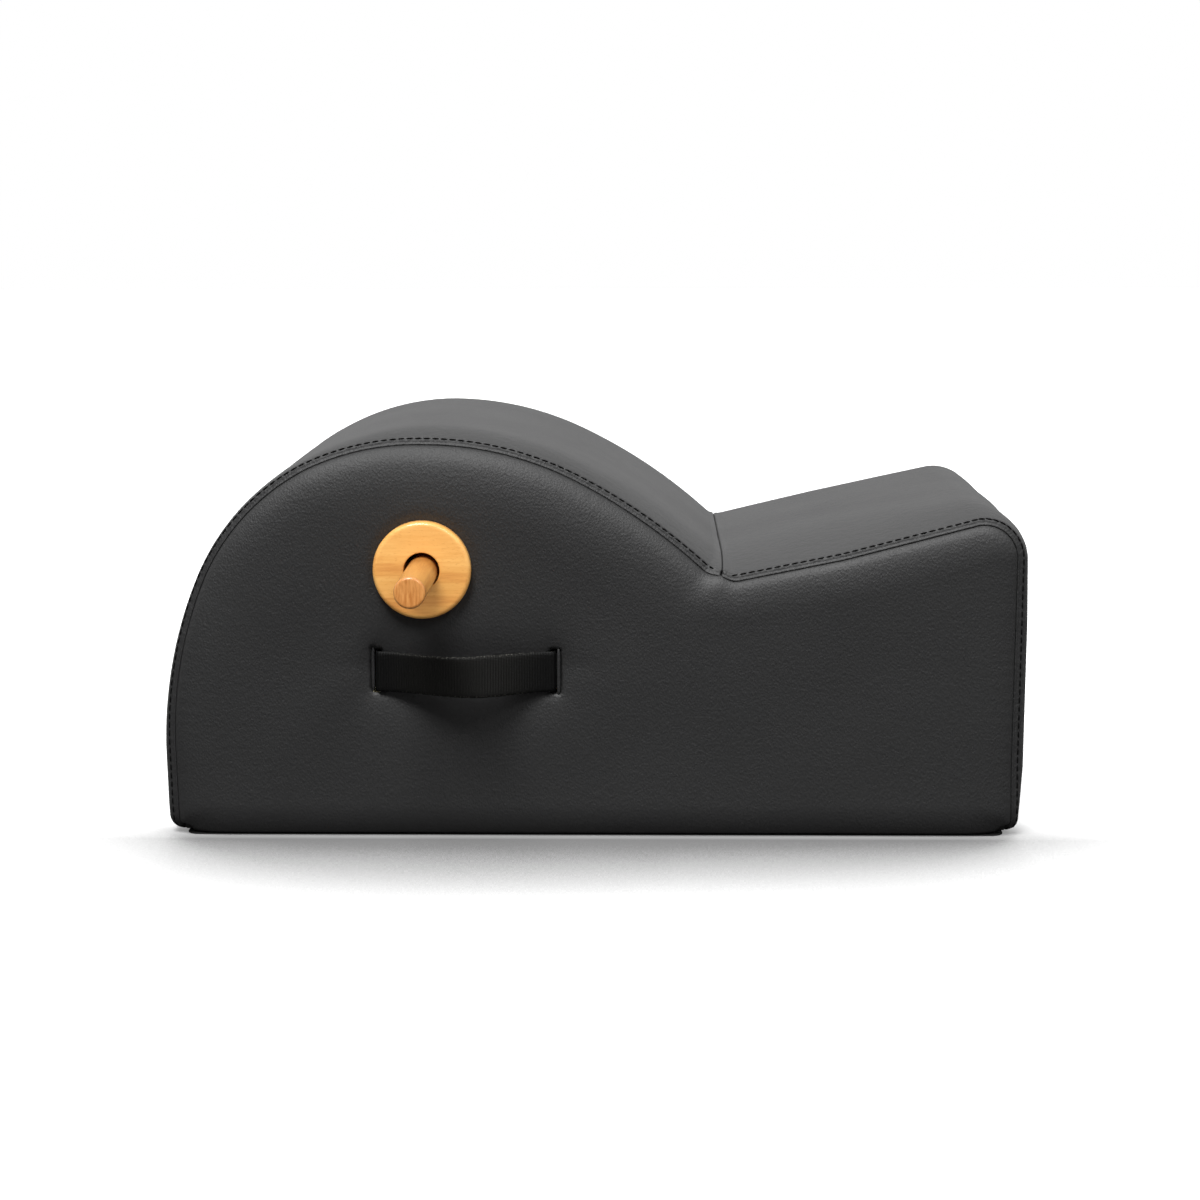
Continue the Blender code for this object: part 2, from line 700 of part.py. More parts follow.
def build_base(outline, materials):
    pad = COVER + PAD + 2 * GAP
    left = outline.inner(pad, "left_wall", "flank")[0][0]
    right = outline.inner(pad, "right_wall", "right_foot")[-1][0]
    corners = [(left, -BOARD_FACE), (right, -BOARD_FACE), (right, BOARD_FACE), (left, BOARD_FACE)]
    points, faces = plan_mesh(corners, FOOT_GAP, FOOT_GAP + BASE_PLY)
    add_object("base_board", points, faces, materials["ply"], smooth=False)
    cloth = rounded_rectangle(LENGTH / 2 - CLOTH_MARGIN, DEPTH / 2 - CLOTH_MARGIN, CLOTH_CORNER)
    add_object("bottom_cloth", *plan_mesh(cloth, 0, BOTTOM_CLOTH), materials["cloth"], smooth=False)


def build_boards(outline, materials, strap_bores):
    # The two profile boards carry the deck, the bushes and the strap ends
    cover = COVER + PAD + 2 * GAP
    hump = outline.inner(cover + HUMP_PLY + GAP, "left_wall", "crease")
    seat = outline.inner(cover + SEAT_PLY + GAP, "crease", "right_foot")
    path = down_to(hump, FRAME_FLOOR, 0)[:-1]
    path = np.vstack([path, down_to(seat, FRAME_FLOOR, -1)])
    polygon = [tuple(point) for point in path]
    for name, side in (("front_profile_board", -1), ("rear_profile_board", 1)):
        low, high = sorted((side * (BOARD_FACE - BOARD_PLY), side * BOARD_FACE))
        board = add_object(name, *prism_mesh(polygon, low, high), materials["ply"], smooth=False)
        holes = [circle_loop(BORE_X, BORE_Z, SPIGOT_RADIUS + GAP)]
        holes += side_holes(0, BOARD_SLOT_CLEAR, 2)[1:]
        solids = [prism_mesh(hole, low - BOARD_CUT_REACH, high + BOARD_CUT_REACH) for hole in holes]
        cut(board, add_object(name + "_holes", *join_meshes(solids), materials["ply"]))
        cut(board, strap_bores[side])


def build_decks(outline, materials):
    pad = COVER + PAD + 2 * GAP
    outer = layer(outline, pad, "left_wall", "crease", 0, GAP / 2)
    inner = layer(outline, pad + HUMP_PLY, "left_wall", "crease", 0, GAP / 2)
    outer[0][1] = inner[0][1] = FRAME_FLOOR
    points, faces = prism_mesh(strip_polygon(outer, inner), -BOARD_FACE, BOARD_FACE)
    add_object("hump_deck", points, faces, materials["ply"])
    outer = layer(outline, pad, "crease", "right_wall", GAP / 2, 0)
    inner = layer(outline, pad + SEAT_PLY, "crease", "right_wall", GAP / 2, 0)
    points, faces = prism_mesh(strip_polygon(outer, inner), -BOARD_FACE, BOARD_FACE)
    add_object("seat_deck", points, faces, materials["ply"])
    outer = layer(outline, pad, "right_wall", "right_foot", GAP, 0)
    inner = layer(outline, pad + SEAT_PLY, "right_wall", "right_foot", GAP, 0)
    outer[-1][1] = inner[-1][1] = FRAME_FLOOR
    points, faces = prism_mesh(strip_polygon(outer, inner), -BOARD_FACE, BOARD_FACE)
    add_object("end_board", points, faces, materials["ply"], smooth=False)


def rail_polygon(outline, mark, along_shift, depth):
    # A rectangle under the deck, square to the outline at one place, just clear of the deck's underside
    station = outline.marks[mark]
    normal = outline.normals[station]
    along = np.array([normal[1], -normal[0]])
    centre = outline.points[station] + along * along_shift
    under = outline.inner(depth)
    dense = np.vstack([np.linspace(a, b, 9) for a, b in zip(under[:-1], under[1:])])
    offset = dense - centre
    near = np.abs(offset @ along) < RAIL_WIDTH / 2 + RAIL_EASING
    near &= np.abs(offset @ normal) < depth + RAIL_DEPTH / 2
    top = (offset @ normal)[near].min() - GAP
    corners = ((-1, top), (1, top), (1, top - RAIL_DEPTH), (-1, top - RAIL_DEPTH))
    return [tuple(centre + along * side * RAIL_WIDTH / 2 + normal * height) for side, height in corners]


def build_rails(outline, materials):
    pad = COVER + PAD + 2 * GAP
    rails = (
        ("left_rail", "left_wall", LEFT_RAIL_SHIFT, pad + HUMP_PLY),
        ("crest_rail", "crown", 0.0, pad + HUMP_PLY),
        ("valley_rail", "crease", 0.0, pad + SEAT_PLY),
        ("end_rail", "corner_start", -END_RAIL_SHIFT, pad + SEAT_PLY),
    )
    reach = BOARD_FACE - BOARD_PLY - GAP
    for name, mark, shift, depth in rails:
        polygon = rail_polygon(outline, mark, shift, depth)
        rail = add_object(name, *prism_mesh(polygon, -reach, reach), materials["pine"], smooth=False)
        bevel = rail.modifiers.new("Eased edges", "BEVEL")
        bevel.width = RAIL_EASING
        bevel.segments = 1
        bevel.limit_method = "ANGLE"


def build_handle(materials):
    # Turned ring bushes on both sides, the guide tube between the boards, and the dowel that slides in them
    face = DEPTH / 2 + RING_PROUD
    back = DEPTH / 2 + GAP
    end = BOARD_FACE - BOARD_PLY
    rim = RING_RADIUS - RING_ROUNDING
    profile = [(BORE_RADIUS, end), (BORE_RADIUS, face - BORE_CHAMFER), (BORE_RADIUS + BORE_CHAMFER, face)]
    profile += arc_points((rim, face - RING_ROUNDING), RING_ROUNDING, 90, 0, 4)
    profile += [(RING_RADIUS, back), (SPIGOT_RADIUS, back), (SPIGOT_RADIUS, end)]
    ring = moved(turned_mesh(profile, ROUND_STEPS), x=BORE_X, z=BORE_Z)
    add_object("rear_ring_bush", *ring, materials["beech"])
    add_object("front_ring_bush", *moved(ring, flip=True), materials["beech"])

    reach = end - GAP
    tube = [(TUBE_BORE, -reach), (TUBE_OUTER, -reach), (TUBE_OUTER, reach), (TUBE_BORE, reach)]
    points, faces = moved(turned_mesh(tube, 24), x=BORE_X, z=BORE_Z)
    add_object("guide_tube", points, faces, materials["tube"])

    half = DOWEL_LENGTH / 2
    corner = DOWEL_RADIUS - DOWEL_ROUNDING
    nose = arc_points((corner, half - DOWEL_ROUNDING), DOWEL_ROUNDING, 90, 0, 3)
    rod = [(radius, -along) for radius, along in nose] + nose[::-1]
    place = (BORE_X, 0, BORE_Z - DOWEL_DROP)
    add_object("dowel_handle", *rod_mesh(rod, ROUND_STEPS), materials["dowel"], location=place)


def strap_centre_line():
    # Plan view of one strap: tail on the board's inner face, out through the slit, then a bow to the middle
    inner_face = BOARD_FACE - BOARD_PLY
    tail = inner_face - GAP - STRAP_THICKNESS / 2
    leave = DEPTH / 2 + STRAP_STAND_OFF
    left = STRAP_X - SLIT_HALF_SPAN
    half = [(left - TAIL_LENGTH, tail)]
    half += arc_points((left - TAIL_BEND, tail + TAIL_BEND), TAIL_BEND, -90, 0, 4)
    half += arc_points((left + STRAP_BEND, leave), STRAP_BEND, 180, 90 + STRAP_SLANT, 3)
    start = np.array(half[-1])
    middle = np.array([STRAP_X, DEPTH / 2 + STRAP_BOW])
    across = (middle[1] - start[1]) / math.tan(math.radians(STRAP_SLANT))
    control = np.array([start[0] + across, middle[1]])
    for step in range(1, STRAP_BOW_STEPS + 1):
        part = step / STRAP_BOW_STEPS
        point = (1 - part) ** 2 * start + 2 * part * (1 - part) * control + part**2 * middle
        half.append(tuple(point))
    mirrored = [(2 * STRAP_X - x, y) for x, y in half[-2::-1]]
    return np.array(half + mirrored)


def ribbon_polygon(path, thickness):
    along = np.gradient(path, axis=0)
    along /= np.linalg.norm(along, axis=1)[:, None]
    across = np.column_stack([-along[:, 1], along[:, 0]]) * thickness / 2
    return strip_polygon(path + across, path - across)


def build_straps(materials):
    # One side's strap, anchor plates and screws, made on the rear side and turned round for the front
    low, high = STRAP_Z - STRAP_WIDTH / 2, STRAP_Z + STRAP_WIDTH / 2
    strap = plan_mesh(ribbon_polygon(strap_centre_line(), STRAP_THICKNESS), low, high)
    plate_back = BOARD_FACE - BOARD_PLY - STRAP_THICKNESS - 2 * GAP
    plate_face = plate_back - PLATE[1]
    tail_middle = SLIT_HALF_SPAN + TAIL_BEND + (TAIL_LENGTH - TAIL_BEND) / 2
    ends = {"left": STRAP_X - tail_middle, "right": STRAP_X + tail_middle}
    plate_loop = rounded_rectangle(PLATE[0] / 2, PLATE[2] / 2, PLATE_CORNER, 2)
    plate = prism_mesh(plate_loop, plate_face, plate_back)
    head = plate_face - GAP
    tip = head + PLATE_SCREW_LENGTH
    profile = [
        (SCREW_HEAD * 0.55, head - SCREW_HEAD_RISE),
        (SCREW_HEAD, head - SCREW_HEAD_RISE * 0.4),
        (SCREW_HEAD, head),
        (SCREW_RADIUS, head),
        (SCREW_RADIUS, tip - SCREW_POINT),
        (SCREW_TIP, tip),
    ]
    screw = rod_mesh(profile, SCREW_SIDES)
    hole = SCREW_RADIUS + 2 * GAP
    end_hole = SCREW_TIP + 2 * GAP
    bore = rod_mesh([(hole, head), (hole, tip - SCREW_POINT), (end_hole, tip + 2 * GAP)], SCREW_SIDES)
    heights = {"lower": STRAP_Z - PLATE_SCREW_SPAN / 2, "upper": STRAP_Z + PLATE_SCREW_SPAN / 2}
    bores = join_meshes([moved(bore, x=x, z=z) for x in ends.values() for z in heights.values()])
    cutters = {}
    for name, side in (("front", -1), ("rear", 1)):
        flip = side < 0
        cutter = add_object(name + "_strap_bores", *moved(bores, flip=flip), materials["steel"])
        cutters[side] = cutter
        cut(add_object(name + "_strap", *moved(strap, flip=flip), materials["webbing"]), cutter)
        for end, x in ends.items():
            title = name + "_" + end
            placed = moved(moved(plate, x=x, z=STRAP_Z), flip=flip)
            cut(add_object(title + "_strap_plate", *placed, materials["steel"], smooth=False), cutter)
            for level, z in heights.items():
                placed = moved(moved(screw, x=x, z=z), flip=flip)
                add_object(title + "_" + level + "_screw", *placed, materials["steel"])
    return cutters


def lip_mesh(centre_x):
    # A bound slit: a rounded lip on the cover, narrower at the ends, with a lining down inside the slit
    face = DEPTH / 2
    section = [
        (0, -LINING_DEPTH),
        (0, 0.30 * LIP_RISE),
        (0.22 * LIP_WIDTH, 0.82 * LIP_RISE),
        (0.50 * LIP_WIDTH, LIP_RISE),
        (0.82 * LIP_WIDTH, 0.80 * LIP_RISE),
        (LIP_WIDTH, 0.35 * LIP_RISE),
        (0.94 * LIP_WIDTH, GAP),
        (LINING, GAP),
        (LINING, -LINING_DEPTH),
    ]
    points, count = [], 0
    for out, rise in section:
        half_length = SLIT_LENGTH / 2 + max(out * LIP_END_SHARE, min(out, LINING))
        loop = slot_loop(centre_x, STRAP_Z, SLIT_WIDTH / 2 + out, half_length)
        count = len(loop)
        points += [(x, face + rise, z) for x, z in loop]
    faces = []
    for ring in range(len(section)):
        base, following = ring * count, (ring + 1) % len(section) * count
        for index in range(count):
            after = (index + 1) % count
            faces.append((base + index, base + after, following + after, following + index))
    return points, faces


def build_slit_lips(materials):
    for end, side in (("left", -1), ("right", 1)):
        mesh = lip_mesh(STRAP_X + side * SLIT_HALF_SPAN)
        add_object("rear_" + end + "_slit_lip", *mesh, materials["welt"])
        add_object("front_" + end + "_slit_lip", *moved(mesh, flip=True), materials["welt"])


def main():
    for item in list(bpy.data.objects):
        bpy.data.objects.remove(item, do_unlink=True)
    outline = body_outline()
    materials = material_set()
    build_band_covers(outline, materials)
    build_side_covers(outline, materials)
    build_slit_lips(materials)
    build_padding(outline, materials)
    build_side_pads(outline, materials)
    build_decks(outline, materials)
    build_rails(outline, materials)
    build_base(outline, materials)
    strap_bores = build_straps(materials)
    build_boards(outline, materials, strap_bores)
    build_handle(materials)


main()
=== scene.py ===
# Spine corrector: a padded arc barrel with a sloping seat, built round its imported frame.
# Metres, +Z up. The front faces -Y, and X runs from the barrel to the seat.
import functools
import math

import bmesh
import bpy
import numpy as np
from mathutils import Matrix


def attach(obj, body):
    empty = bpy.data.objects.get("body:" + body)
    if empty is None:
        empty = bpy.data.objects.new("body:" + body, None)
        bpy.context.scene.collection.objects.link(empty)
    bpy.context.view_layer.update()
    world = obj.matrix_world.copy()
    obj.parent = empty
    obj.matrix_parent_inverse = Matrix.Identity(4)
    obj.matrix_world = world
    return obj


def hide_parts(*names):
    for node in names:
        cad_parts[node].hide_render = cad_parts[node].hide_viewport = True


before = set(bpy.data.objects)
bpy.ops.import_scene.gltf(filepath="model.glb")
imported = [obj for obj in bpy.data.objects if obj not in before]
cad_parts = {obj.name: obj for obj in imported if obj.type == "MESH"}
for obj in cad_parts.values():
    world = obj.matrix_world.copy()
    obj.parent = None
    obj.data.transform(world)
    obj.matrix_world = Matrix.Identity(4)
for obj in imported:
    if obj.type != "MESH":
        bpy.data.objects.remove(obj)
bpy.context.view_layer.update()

# The body's outline, as the frame has it, and the curl of its foot
body = {
    "length": 0.850,
    "depth": 0.450,
    "height": 0.402,
    "crownX": -0.166,
    "flank": (0.415, 23.3),
    "shoulder": (0.232, 40.5),
    "crownLeft": (0.262, 27.5),
    "crownRight": (0.338, 26.6),
    "slope": 0.586,
    "creaseX": 0.1263,
    "valley": 0.020,
    "seatSlope": 13.5,
    "corner": 0.046,
    "endLean": 0.47,
    "curl": 0.014,
    "sideCurl": (0.014, 0.032),
    "curlSweep": 84.0,
    "floorGap": 0.0023,
    "sampleStep": 0.0015,
}
# The side seam, place by place: how far it stands in from the outline, which share of the full crown the side
# panel has there, how far the band's middle bulges over the outline, and how wide its edges round off
seam = {
    "foot": (0.0080, 0.0, 0.0000, 0.0116),
    "wall": (0.0086, 0.0, 0.0026, 0.0116),
    "shoulder": (0.0076, 0.6, 0.0006, 0.0200),
    "crown": (0.0116, 1.0, 0.0032, 0.0500),
    "slope": (0.0124, 0.6, 0.0037, 0.0900),
    "crease": (0.0074, 0.1, 0.0050, 0.0800),
    "seatStart": (0.0134, 0.0, 0.0047, 0.1500),
    "seat": (0.0172, 0.0, 0.0046, 0.1600),
    "seatEnd": (0.0148, 0.0, 0.0017, 0.0900),
    "corner": (0.0122, 0.0, -0.0009, 0.0400),
    "end": (0.0094, 0.0, 0.0015, 0.0116),
    "endMiddle": (0.0094, 0.0, 0.0033, 0.0116),
}


def direction(degrees):
    turn = np.radians(degrees)
    return np.stack([np.cos(turn), np.sin(turn)], axis=-1)


def smoothStep(value, low, high):
    # 3t² - 2t³, with t the share of the way from low to high
    part = np.clip((value - low) / (high - low), 0, 1)
    return part * part * (3 - 2 * part)


def seamRun(ends, count):
    return np.linspace(seam[ends[0]], seam[ends[-1]], count)


def arcRun(centre, radius, start, stop, ends, hollow=False):
    # centre + radius * (cos, sin) with the angle running from start to stop; that direction is the normal
    count = 2 + int(math.radians(abs(stop - start)) * radius / body["sampleStep"])
    normal = direction(np.linspace(start, stop, count))
    side = -1 if hollow else 1
    return centre + side * radius * normal, normal, seamRun(ends, count)


def lineRun(start, stop, normal, ends):
    count = 2 + int(np.linalg.norm(stop - start) / body["sampleStep"])
    part = np.linspace(0, 1, count)[:, None]
    return start + (stop - start) * part, np.repeat(normal[None], count, axis=0), seamRun(ends, count)


def bodyOutline():
    # A chain of tangent arcs in X and Z, from the left foot over the barrel and the seat to the right foot
    b = body
    crownEnd = 90 + b["crownLeft"][1]
    shoulderEnd = crownEnd + b["shoulder"][1]
    flankEnd = shoulderEnd + b["flank"][1]
    crown = np.array([b["crownX"], b["height"]])
    leftCentre = crown - b["crownLeft"][0] * direction(90)
    shoulderCentre = leftCentre + (b["crownLeft"][0] - b["shoulder"][0]) * direction(crownEnd)
    flankCentre = shoulderCentre + (b["shoulder"][0] - b["flank"][0]) * direction(shoulderEnd)
    curlZ = b["floorGap"] + b["curl"]

    normal = direction(flankEnd)
    down = np.array([-normal[1], normal[0]])
    wallTop = flankCentre + b["flank"][0] * normal
    reach = (curlZ - wallTop[1] + b["curl"] * normal[1]) / down[1]
    curlCentre = wallTop + reach * down - b["curl"] * normal
    runs = {
        "start": arcRun(curlCentre, b["curl"], flankEnd + b["curlSweep"], flankEnd, ("foot", "wall")),
        "leftWall": lineRun(curlCentre + b["curl"] * normal, wallTop, normal, ["wall"]),
        "flank": arcRun(flankCentre, b["flank"][0], flankEnd, shoulderEnd, ("wall", "shoulder")),
        "shoulder": arcRun(shoulderCentre, b["shoulder"][0], shoulderEnd, crownEnd, ["shoulder"]),
        "crownLeft": arcRun(leftCentre, b["crownLeft"][0], crownEnd, 90, ("shoulder", "crown")),
    }

    rightCentre = crown - b["crownRight"][0] * direction(90)
    slopeStart = 90 - b["crownRight"][1]
    slopeCentre = rightCentre + (b["crownRight"][0] - b["slope"]) * direction(slopeStart)
    creaseZ = slopeCentre[1] + math.sqrt(b["slope"] ** 2 - (b["creaseX"] - slopeCentre[0]) ** 2)
    crease = np.array([b["creaseX"], creaseZ])
    seatNormal = direction(90 + b["seatSlope"])
    seatAlong = np.array([seatNormal[1], -seatNormal[0]])
    start = crease + seatNormal * b["valley"] - slopeCentre
    along = -start @ seatAlong + math.sqrt((b["slope"] + b["valley"]) ** 2 - (start @ seatNormal) ** 2)
    valleyCentre = crease + seatNormal * b["valley"] + seatAlong * along
    toward = valleyCentre - slopeCentre
    slopeEnd = math.degrees(math.atan2(toward[1], toward[0]))
    seatTurn = 90 + b["seatSlope"]
    creaseTurn = (slopeEnd + seatTurn) / 2
    runs["crown"] = arcRun(rightCentre, b["crownRight"][0], 90, slopeStart, ["crown"])
    runs["slope"] = arcRun(slopeCentre, b["slope"], slopeStart, slopeEnd, ("crown", "slope"))
    runs["valley"] = arcRun(valleyCentre, b["valley"], slopeEnd, creaseTurn, ("slope", "crease"), hollow=True)
    ends = ("crease", "seatStart")
    runs["crease"] = arcRun(valleyCentre, b["valley"], creaseTurn, seatTurn, ends, hollow=True)

    seatStart = valleyCentre - b["valley"] * seatNormal
    cornerX = b["length"] / 2 - b["corner"]
    reach = (cornerX + b["corner"] * seatNormal[0] - seatStart[0]) / seatAlong[0]
    seatEnd = seatStart + reach * seatAlong
    seatMiddle = seatStart + 0.45 * reach * seatAlong
    cornerCentre = seatEnd - b["corner"] * seatNormal
    cornerTurn = seatTurn / 2
    runs["seatLow"] = lineRun(seatStart, seatMiddle, seatNormal, ("seatStart", "seat"))
    runs["seatHigh"] = lineRun(seatMiddle, seatEnd, seatNormal, ("seat", "seatEnd"))
    runs["cornerTop"] = arcRun(cornerCentre, b["corner"], seatTurn, cornerTurn, ("seatEnd", "corner"))
    runs["corner"] = arcRun(cornerCentre, b["corner"], cornerTurn, -b["endLean"], ("corner", "end"))
    normal = direction(-b["endLean"])
    down = np.array([normal[1], -normal[0]])
    wallTop = cornerCentre + b["corner"] * normal
    reach = (curlZ - wallTop[1] + b["curl"] * normal[1]) / down[1]
    curlCentre = wallTop + reach * down - b["curl"] * normal
    wallFoot = curlCentre + b["curl"] * normal
    high, low = (wallTop + part * (wallFoot - wallTop) for part in (0.25, 0.8))
    runs["rightHigh"] = lineRun(wallTop, high, normal, ("end", "endMiddle"))
    runs["rightMiddle"] = lineRun(high, low, normal, ["endMiddle"])
    runs["rightLow"] = lineRun(low, wallFoot, normal, ("endMiddle", "foot"))
    lastTurn = -b["endLean"] - b["curlSweep"]
    runs["rightCurl"] = arcRun(curlCentre, b["curl"], -b["endLean"], lastTurn, ["foot"])

    marks, parts, count = {}, [], 0
    for name, run in runs.items():
        marks[name] = count
        last = None if name == "rightCurl" else -1
        parts.append([values[:last] for values in run])
        count += len(parts[-1][0])
    point, normal, section = (np.concatenate([part[k] for part in parts]) for k in range(3))
    steps = np.linalg.norm(np.diff(point, axis=0), axis=1)
    place = np.concatenate([[0], np.cumsum(steps)])
    marks = {name: float(place[index]) for name, index in marks.items()}
    marks["end"] = float(place[-1])
    facts = dict(zip(("inset", "full", "bulge", "reach"), section.T))
    return {"point": point, "normal": normal, "s": place, "marks": marks, **facts}


edge = bodyOutline()


def sampleEdge(s):
    # The outline's point and normal at distances s along it
    columns = [np.interp(s, edge["s"], edge[key][:, k]) for key in ("point", "normal") for k in (0, 1)]
    point = np.stack(columns[:2], axis=-1)
    normal = np.stack(columns[2:], axis=-1)
    normal /= np.linalg.norm(normal, axis=-1, keepdims=True)
    return point, normal


def edgeValue(s, fact):
    return np.interp(s, edge["s"], edge[fact])


def seamLine(s):
    point, normal = sampleEdge(s)
    return point - normal * edgeValue(s, "inset")[..., None]


def nearestOnEdge(points):
    # The nearest sample of the outline, then the nearest place on the two stretches beside it
    chunks = np.array_split(points, 1 + len(points) // 3000)
    nearest = [((chunk[:, None] - edge["point"][None]) ** 2).sum(axis=2).argmin(axis=1) for chunk in chunks]
    nearest = np.concatenate(nearest)
    found = []
    for shift in (-1, 0):
        first = np.clip(nearest + shift, 0, len(edge["point"]) - 2)
        start = edge["point"][first]
        step = edge["point"][first + 1] - start
        part = np.clip(((points - start) * step).sum(axis=1) / (step**2).sum(axis=1), 0, 1)
        gap = np.linalg.norm(points - start - part[:, None] * step, axis=1)
        found.append((gap, edge["s"][first] + part * np.linalg.norm(step, axis=1)))
    closer = found[0][0] <= found[1][0]
    return np.where(closer, found[0][0], found[1][0]), np.where(closer, found[0][1], found[1][1])


def curlDepth(z):
    # How far a long side's foot stands back: a quarter ellipse, w * (1 - (1 - (drop / h)^2)^(1/2))
    wide, high = body["sideCurl"]
    drop = np.clip(high + body["floorGap"] - z, 0, high)
    return wide * (1 - np.sqrt(1 - (drop / high) ** 2))


def rollIn(away, radius):
    # A quarter circle that takes the last stretch of a panel down into its seam
    inside = np.clip(radius - away, 0, radius)
    return radius - np.sqrt(radius**2 - inside**2)


def gradedSteps(length, coarse, spots):
    # Shares of a length with closer spacing near each spot: coarse - (coarse - fine) * e^(-distance / reach)
    place = np.linspace(0, length, 6001)
    spacing = np.full(len(place), coarse)
    for share, halfWidth, fine, reach in spots:
        away = np.clip(np.abs(place - share * length) - halfWidth, 0, None)
        spacing = np.minimum(spacing, coarse - (coarse - fine) * np.exp(-away / reach))
    density = 0.5 * (1 / spacing[1:] + 1 / spacing[:-1]) * np.diff(place)
    total = np.concatenate([[0], np.cumsum(density)])
    count = max(2, round(total[-1]))
    return np.interp(np.linspace(0, total[-1], count + 1), total, place) / length


def softNoise(across, up, size, seed):
    # A smooth random field: a dozen sine waves of about one size, in fixed random directions
    draw = np.random.default_rng(seed)
    value = np.zeros(np.broadcast(across, up).shape)
    for _ in range(12):
        turn, phase = draw.uniform(0, 2 * math.pi, 2)
        wave = 2 * math.pi / (size * draw.uniform(0.7, 1.5))
        value += np.sin(wave * (across * math.cos(turn) + up * math.sin(turn)) + phase)
    return value / 5


def hexColor(text):
    # sRGB hex to linear
    parts = [int(text[k : k + 2], 16) / 255 for k in (0, 2, 4)]
    return tuple(c / 12.92 if c <= 0.04045 else ((c + 0.055) / 1.055) ** 2.4 for c in parts) + (1.0,)


def liveOutput(node):
    # A node's first output that its settings leave in use
    return next(socket for socket in node.outputs if socket.enabled)


def addNode(tree, kind, inputs=None, stops=None, into=None, **settings):
    # One node with its settings, input values or links, a ramp's stops, and the socket that it feeds
    made = tree.nodes.new("ShaderNode" + kind)
    for name, value in settings.items():
        setattr(made, name, value)
    for name, value in (inputs or {}).items():
        if isinstance(value, bpy.types.Node):
            value = liveOutput(value)
        if isinstance(value, bpy.types.NodeSocket):
            tree.links.new(value, made.inputs[name])
        else:
            made.inputs[name].default_value = value
    for index, (place, color) in enumerate(stops or ()):
        stop = made.color_ramp.elements[index] if index < 2 else made.color_ramp.elements.new(place)
        stop.position = place
        stop.color = hexColor(color)
    if into is not None:
        tree.links.new(liveOutput(made), into)
    return made


def startMaterial(name, color, roughness, values=None):
    # A material with its plain values set; also its node adder, its sockets and its object coordinates
    made = bpy.data.materials.new(name)
    made.use_nodes = True
    made.diffuse_color = hexColor(color)
    sockets = made.node_tree.nodes["Principled BSDF"].inputs
    for socket, value in {"Base Color": hexColor(color), "Roughness": roughness, **(values or {})}.items():
        sockets[socket].default_value = value
    add = functools.partial(addNode, made.node_tree)
    return made, add, sockets, add("TexCoord").outputs["Object"]


def makeMesh(name, points, *faceSets, uv=None, smooth=True):
    points = np.ascontiguousarray(points, np.float32).reshape(-1, 3)
    corners = np.concatenate([faces.ravel() for faces in faceSets]).astype(np.int32)
    sizes = np.concatenate([np.full(len(faces), faces.shape[1]) for faces in faceSets])
    mesh = bpy.data.meshes.new(name)
    mesh.vertices.add(len(points))
    mesh.loops.add(len(corners))
    mesh.polygons.add(len(sizes))
    mesh.vertices.foreach_set("co", points.ravel())
    mesh.loops.foreach_set("vertex_index", corners)
    mesh.polygons.foreach_set("loop_start", np.concatenate([[0], np.cumsum(sizes)[:-1]]).astype(np.int32))
    mesh.polygons.foreach_set("use_smooth", np.full(len(sizes), smooth))
    mesh.update(calc_edges=True)
    if uv is not None:
        layer = mesh.uv_layers.new(name="UVMap")
        layer.data.foreach_set("uv", np.ascontiguousarray(uv.reshape(-1, 2)[corners], np.float32).ravel())
    return mesh


def addPiece(name, mesh, material, replaced, bodyName="body"):
    piece = bpy.data.objects.new(name, mesh)
    bpy.context.scene.collection.objects.link(piece)
    mesh.materials.append(material)
    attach(piece, bodyName)
    if replaced:
        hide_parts(*replaced)
    return piece


def gridFaces(rows, columns, closeRows=False, closeColumns=False):
    # Quads between neighbours of a grid of rows times columns points
    counts = np.arange(rows - (not closeRows)), np.arange(columns - (not closeColumns))
    r, c = (values.ravel() for values in np.meshgrid(*counts, indexing="ij"))
    here, above = r * columns, (r + 1) % rows * columns
    nextC = (c + 1) % columns
    return np.stack([here + c, here + nextC, above + nextC, above + c], axis=1)


def capFaces(ring, flip=False):
    # A fan of triangles over one closed ring of point numbers
    fan = np.stack([np.full(len(ring) - 2, ring[0]), ring[1:-1], ring[2:]], axis=1)
    return fan[:, ::-1] if flip else fan


def tubeEnds(rows, sides, flip=False):
    # Fans over the first and the last ring of a tube
    rim = np.arange(sides)
    return np.concatenate([capFaces(rim, not flip), capFaces(rim + (rows - 1) * sides, flip)])


def thicken(piece, thickness):
    wall = piece.modifiers.new("Leather thickness", "SOLIDIFY")
    wall.thickness = thickness
    wall.offset = -1
    wall.use_even_offset = False
    wall.use_rim = True


print("outline", len(edge["s"]), "samples,", round(edge["s"][-1], 4), "m")

# Camera at the photograph's angle: 9 degrees down, one degree off square
cameraFacts = {
    "place": (0.0524, -2.6906, 0.6286),
    "pitch": 8.963,
    "yaw": 1.064,
    "roll": -0.118,
    "lens": 76.59,
    "sensor": 36.0,
}


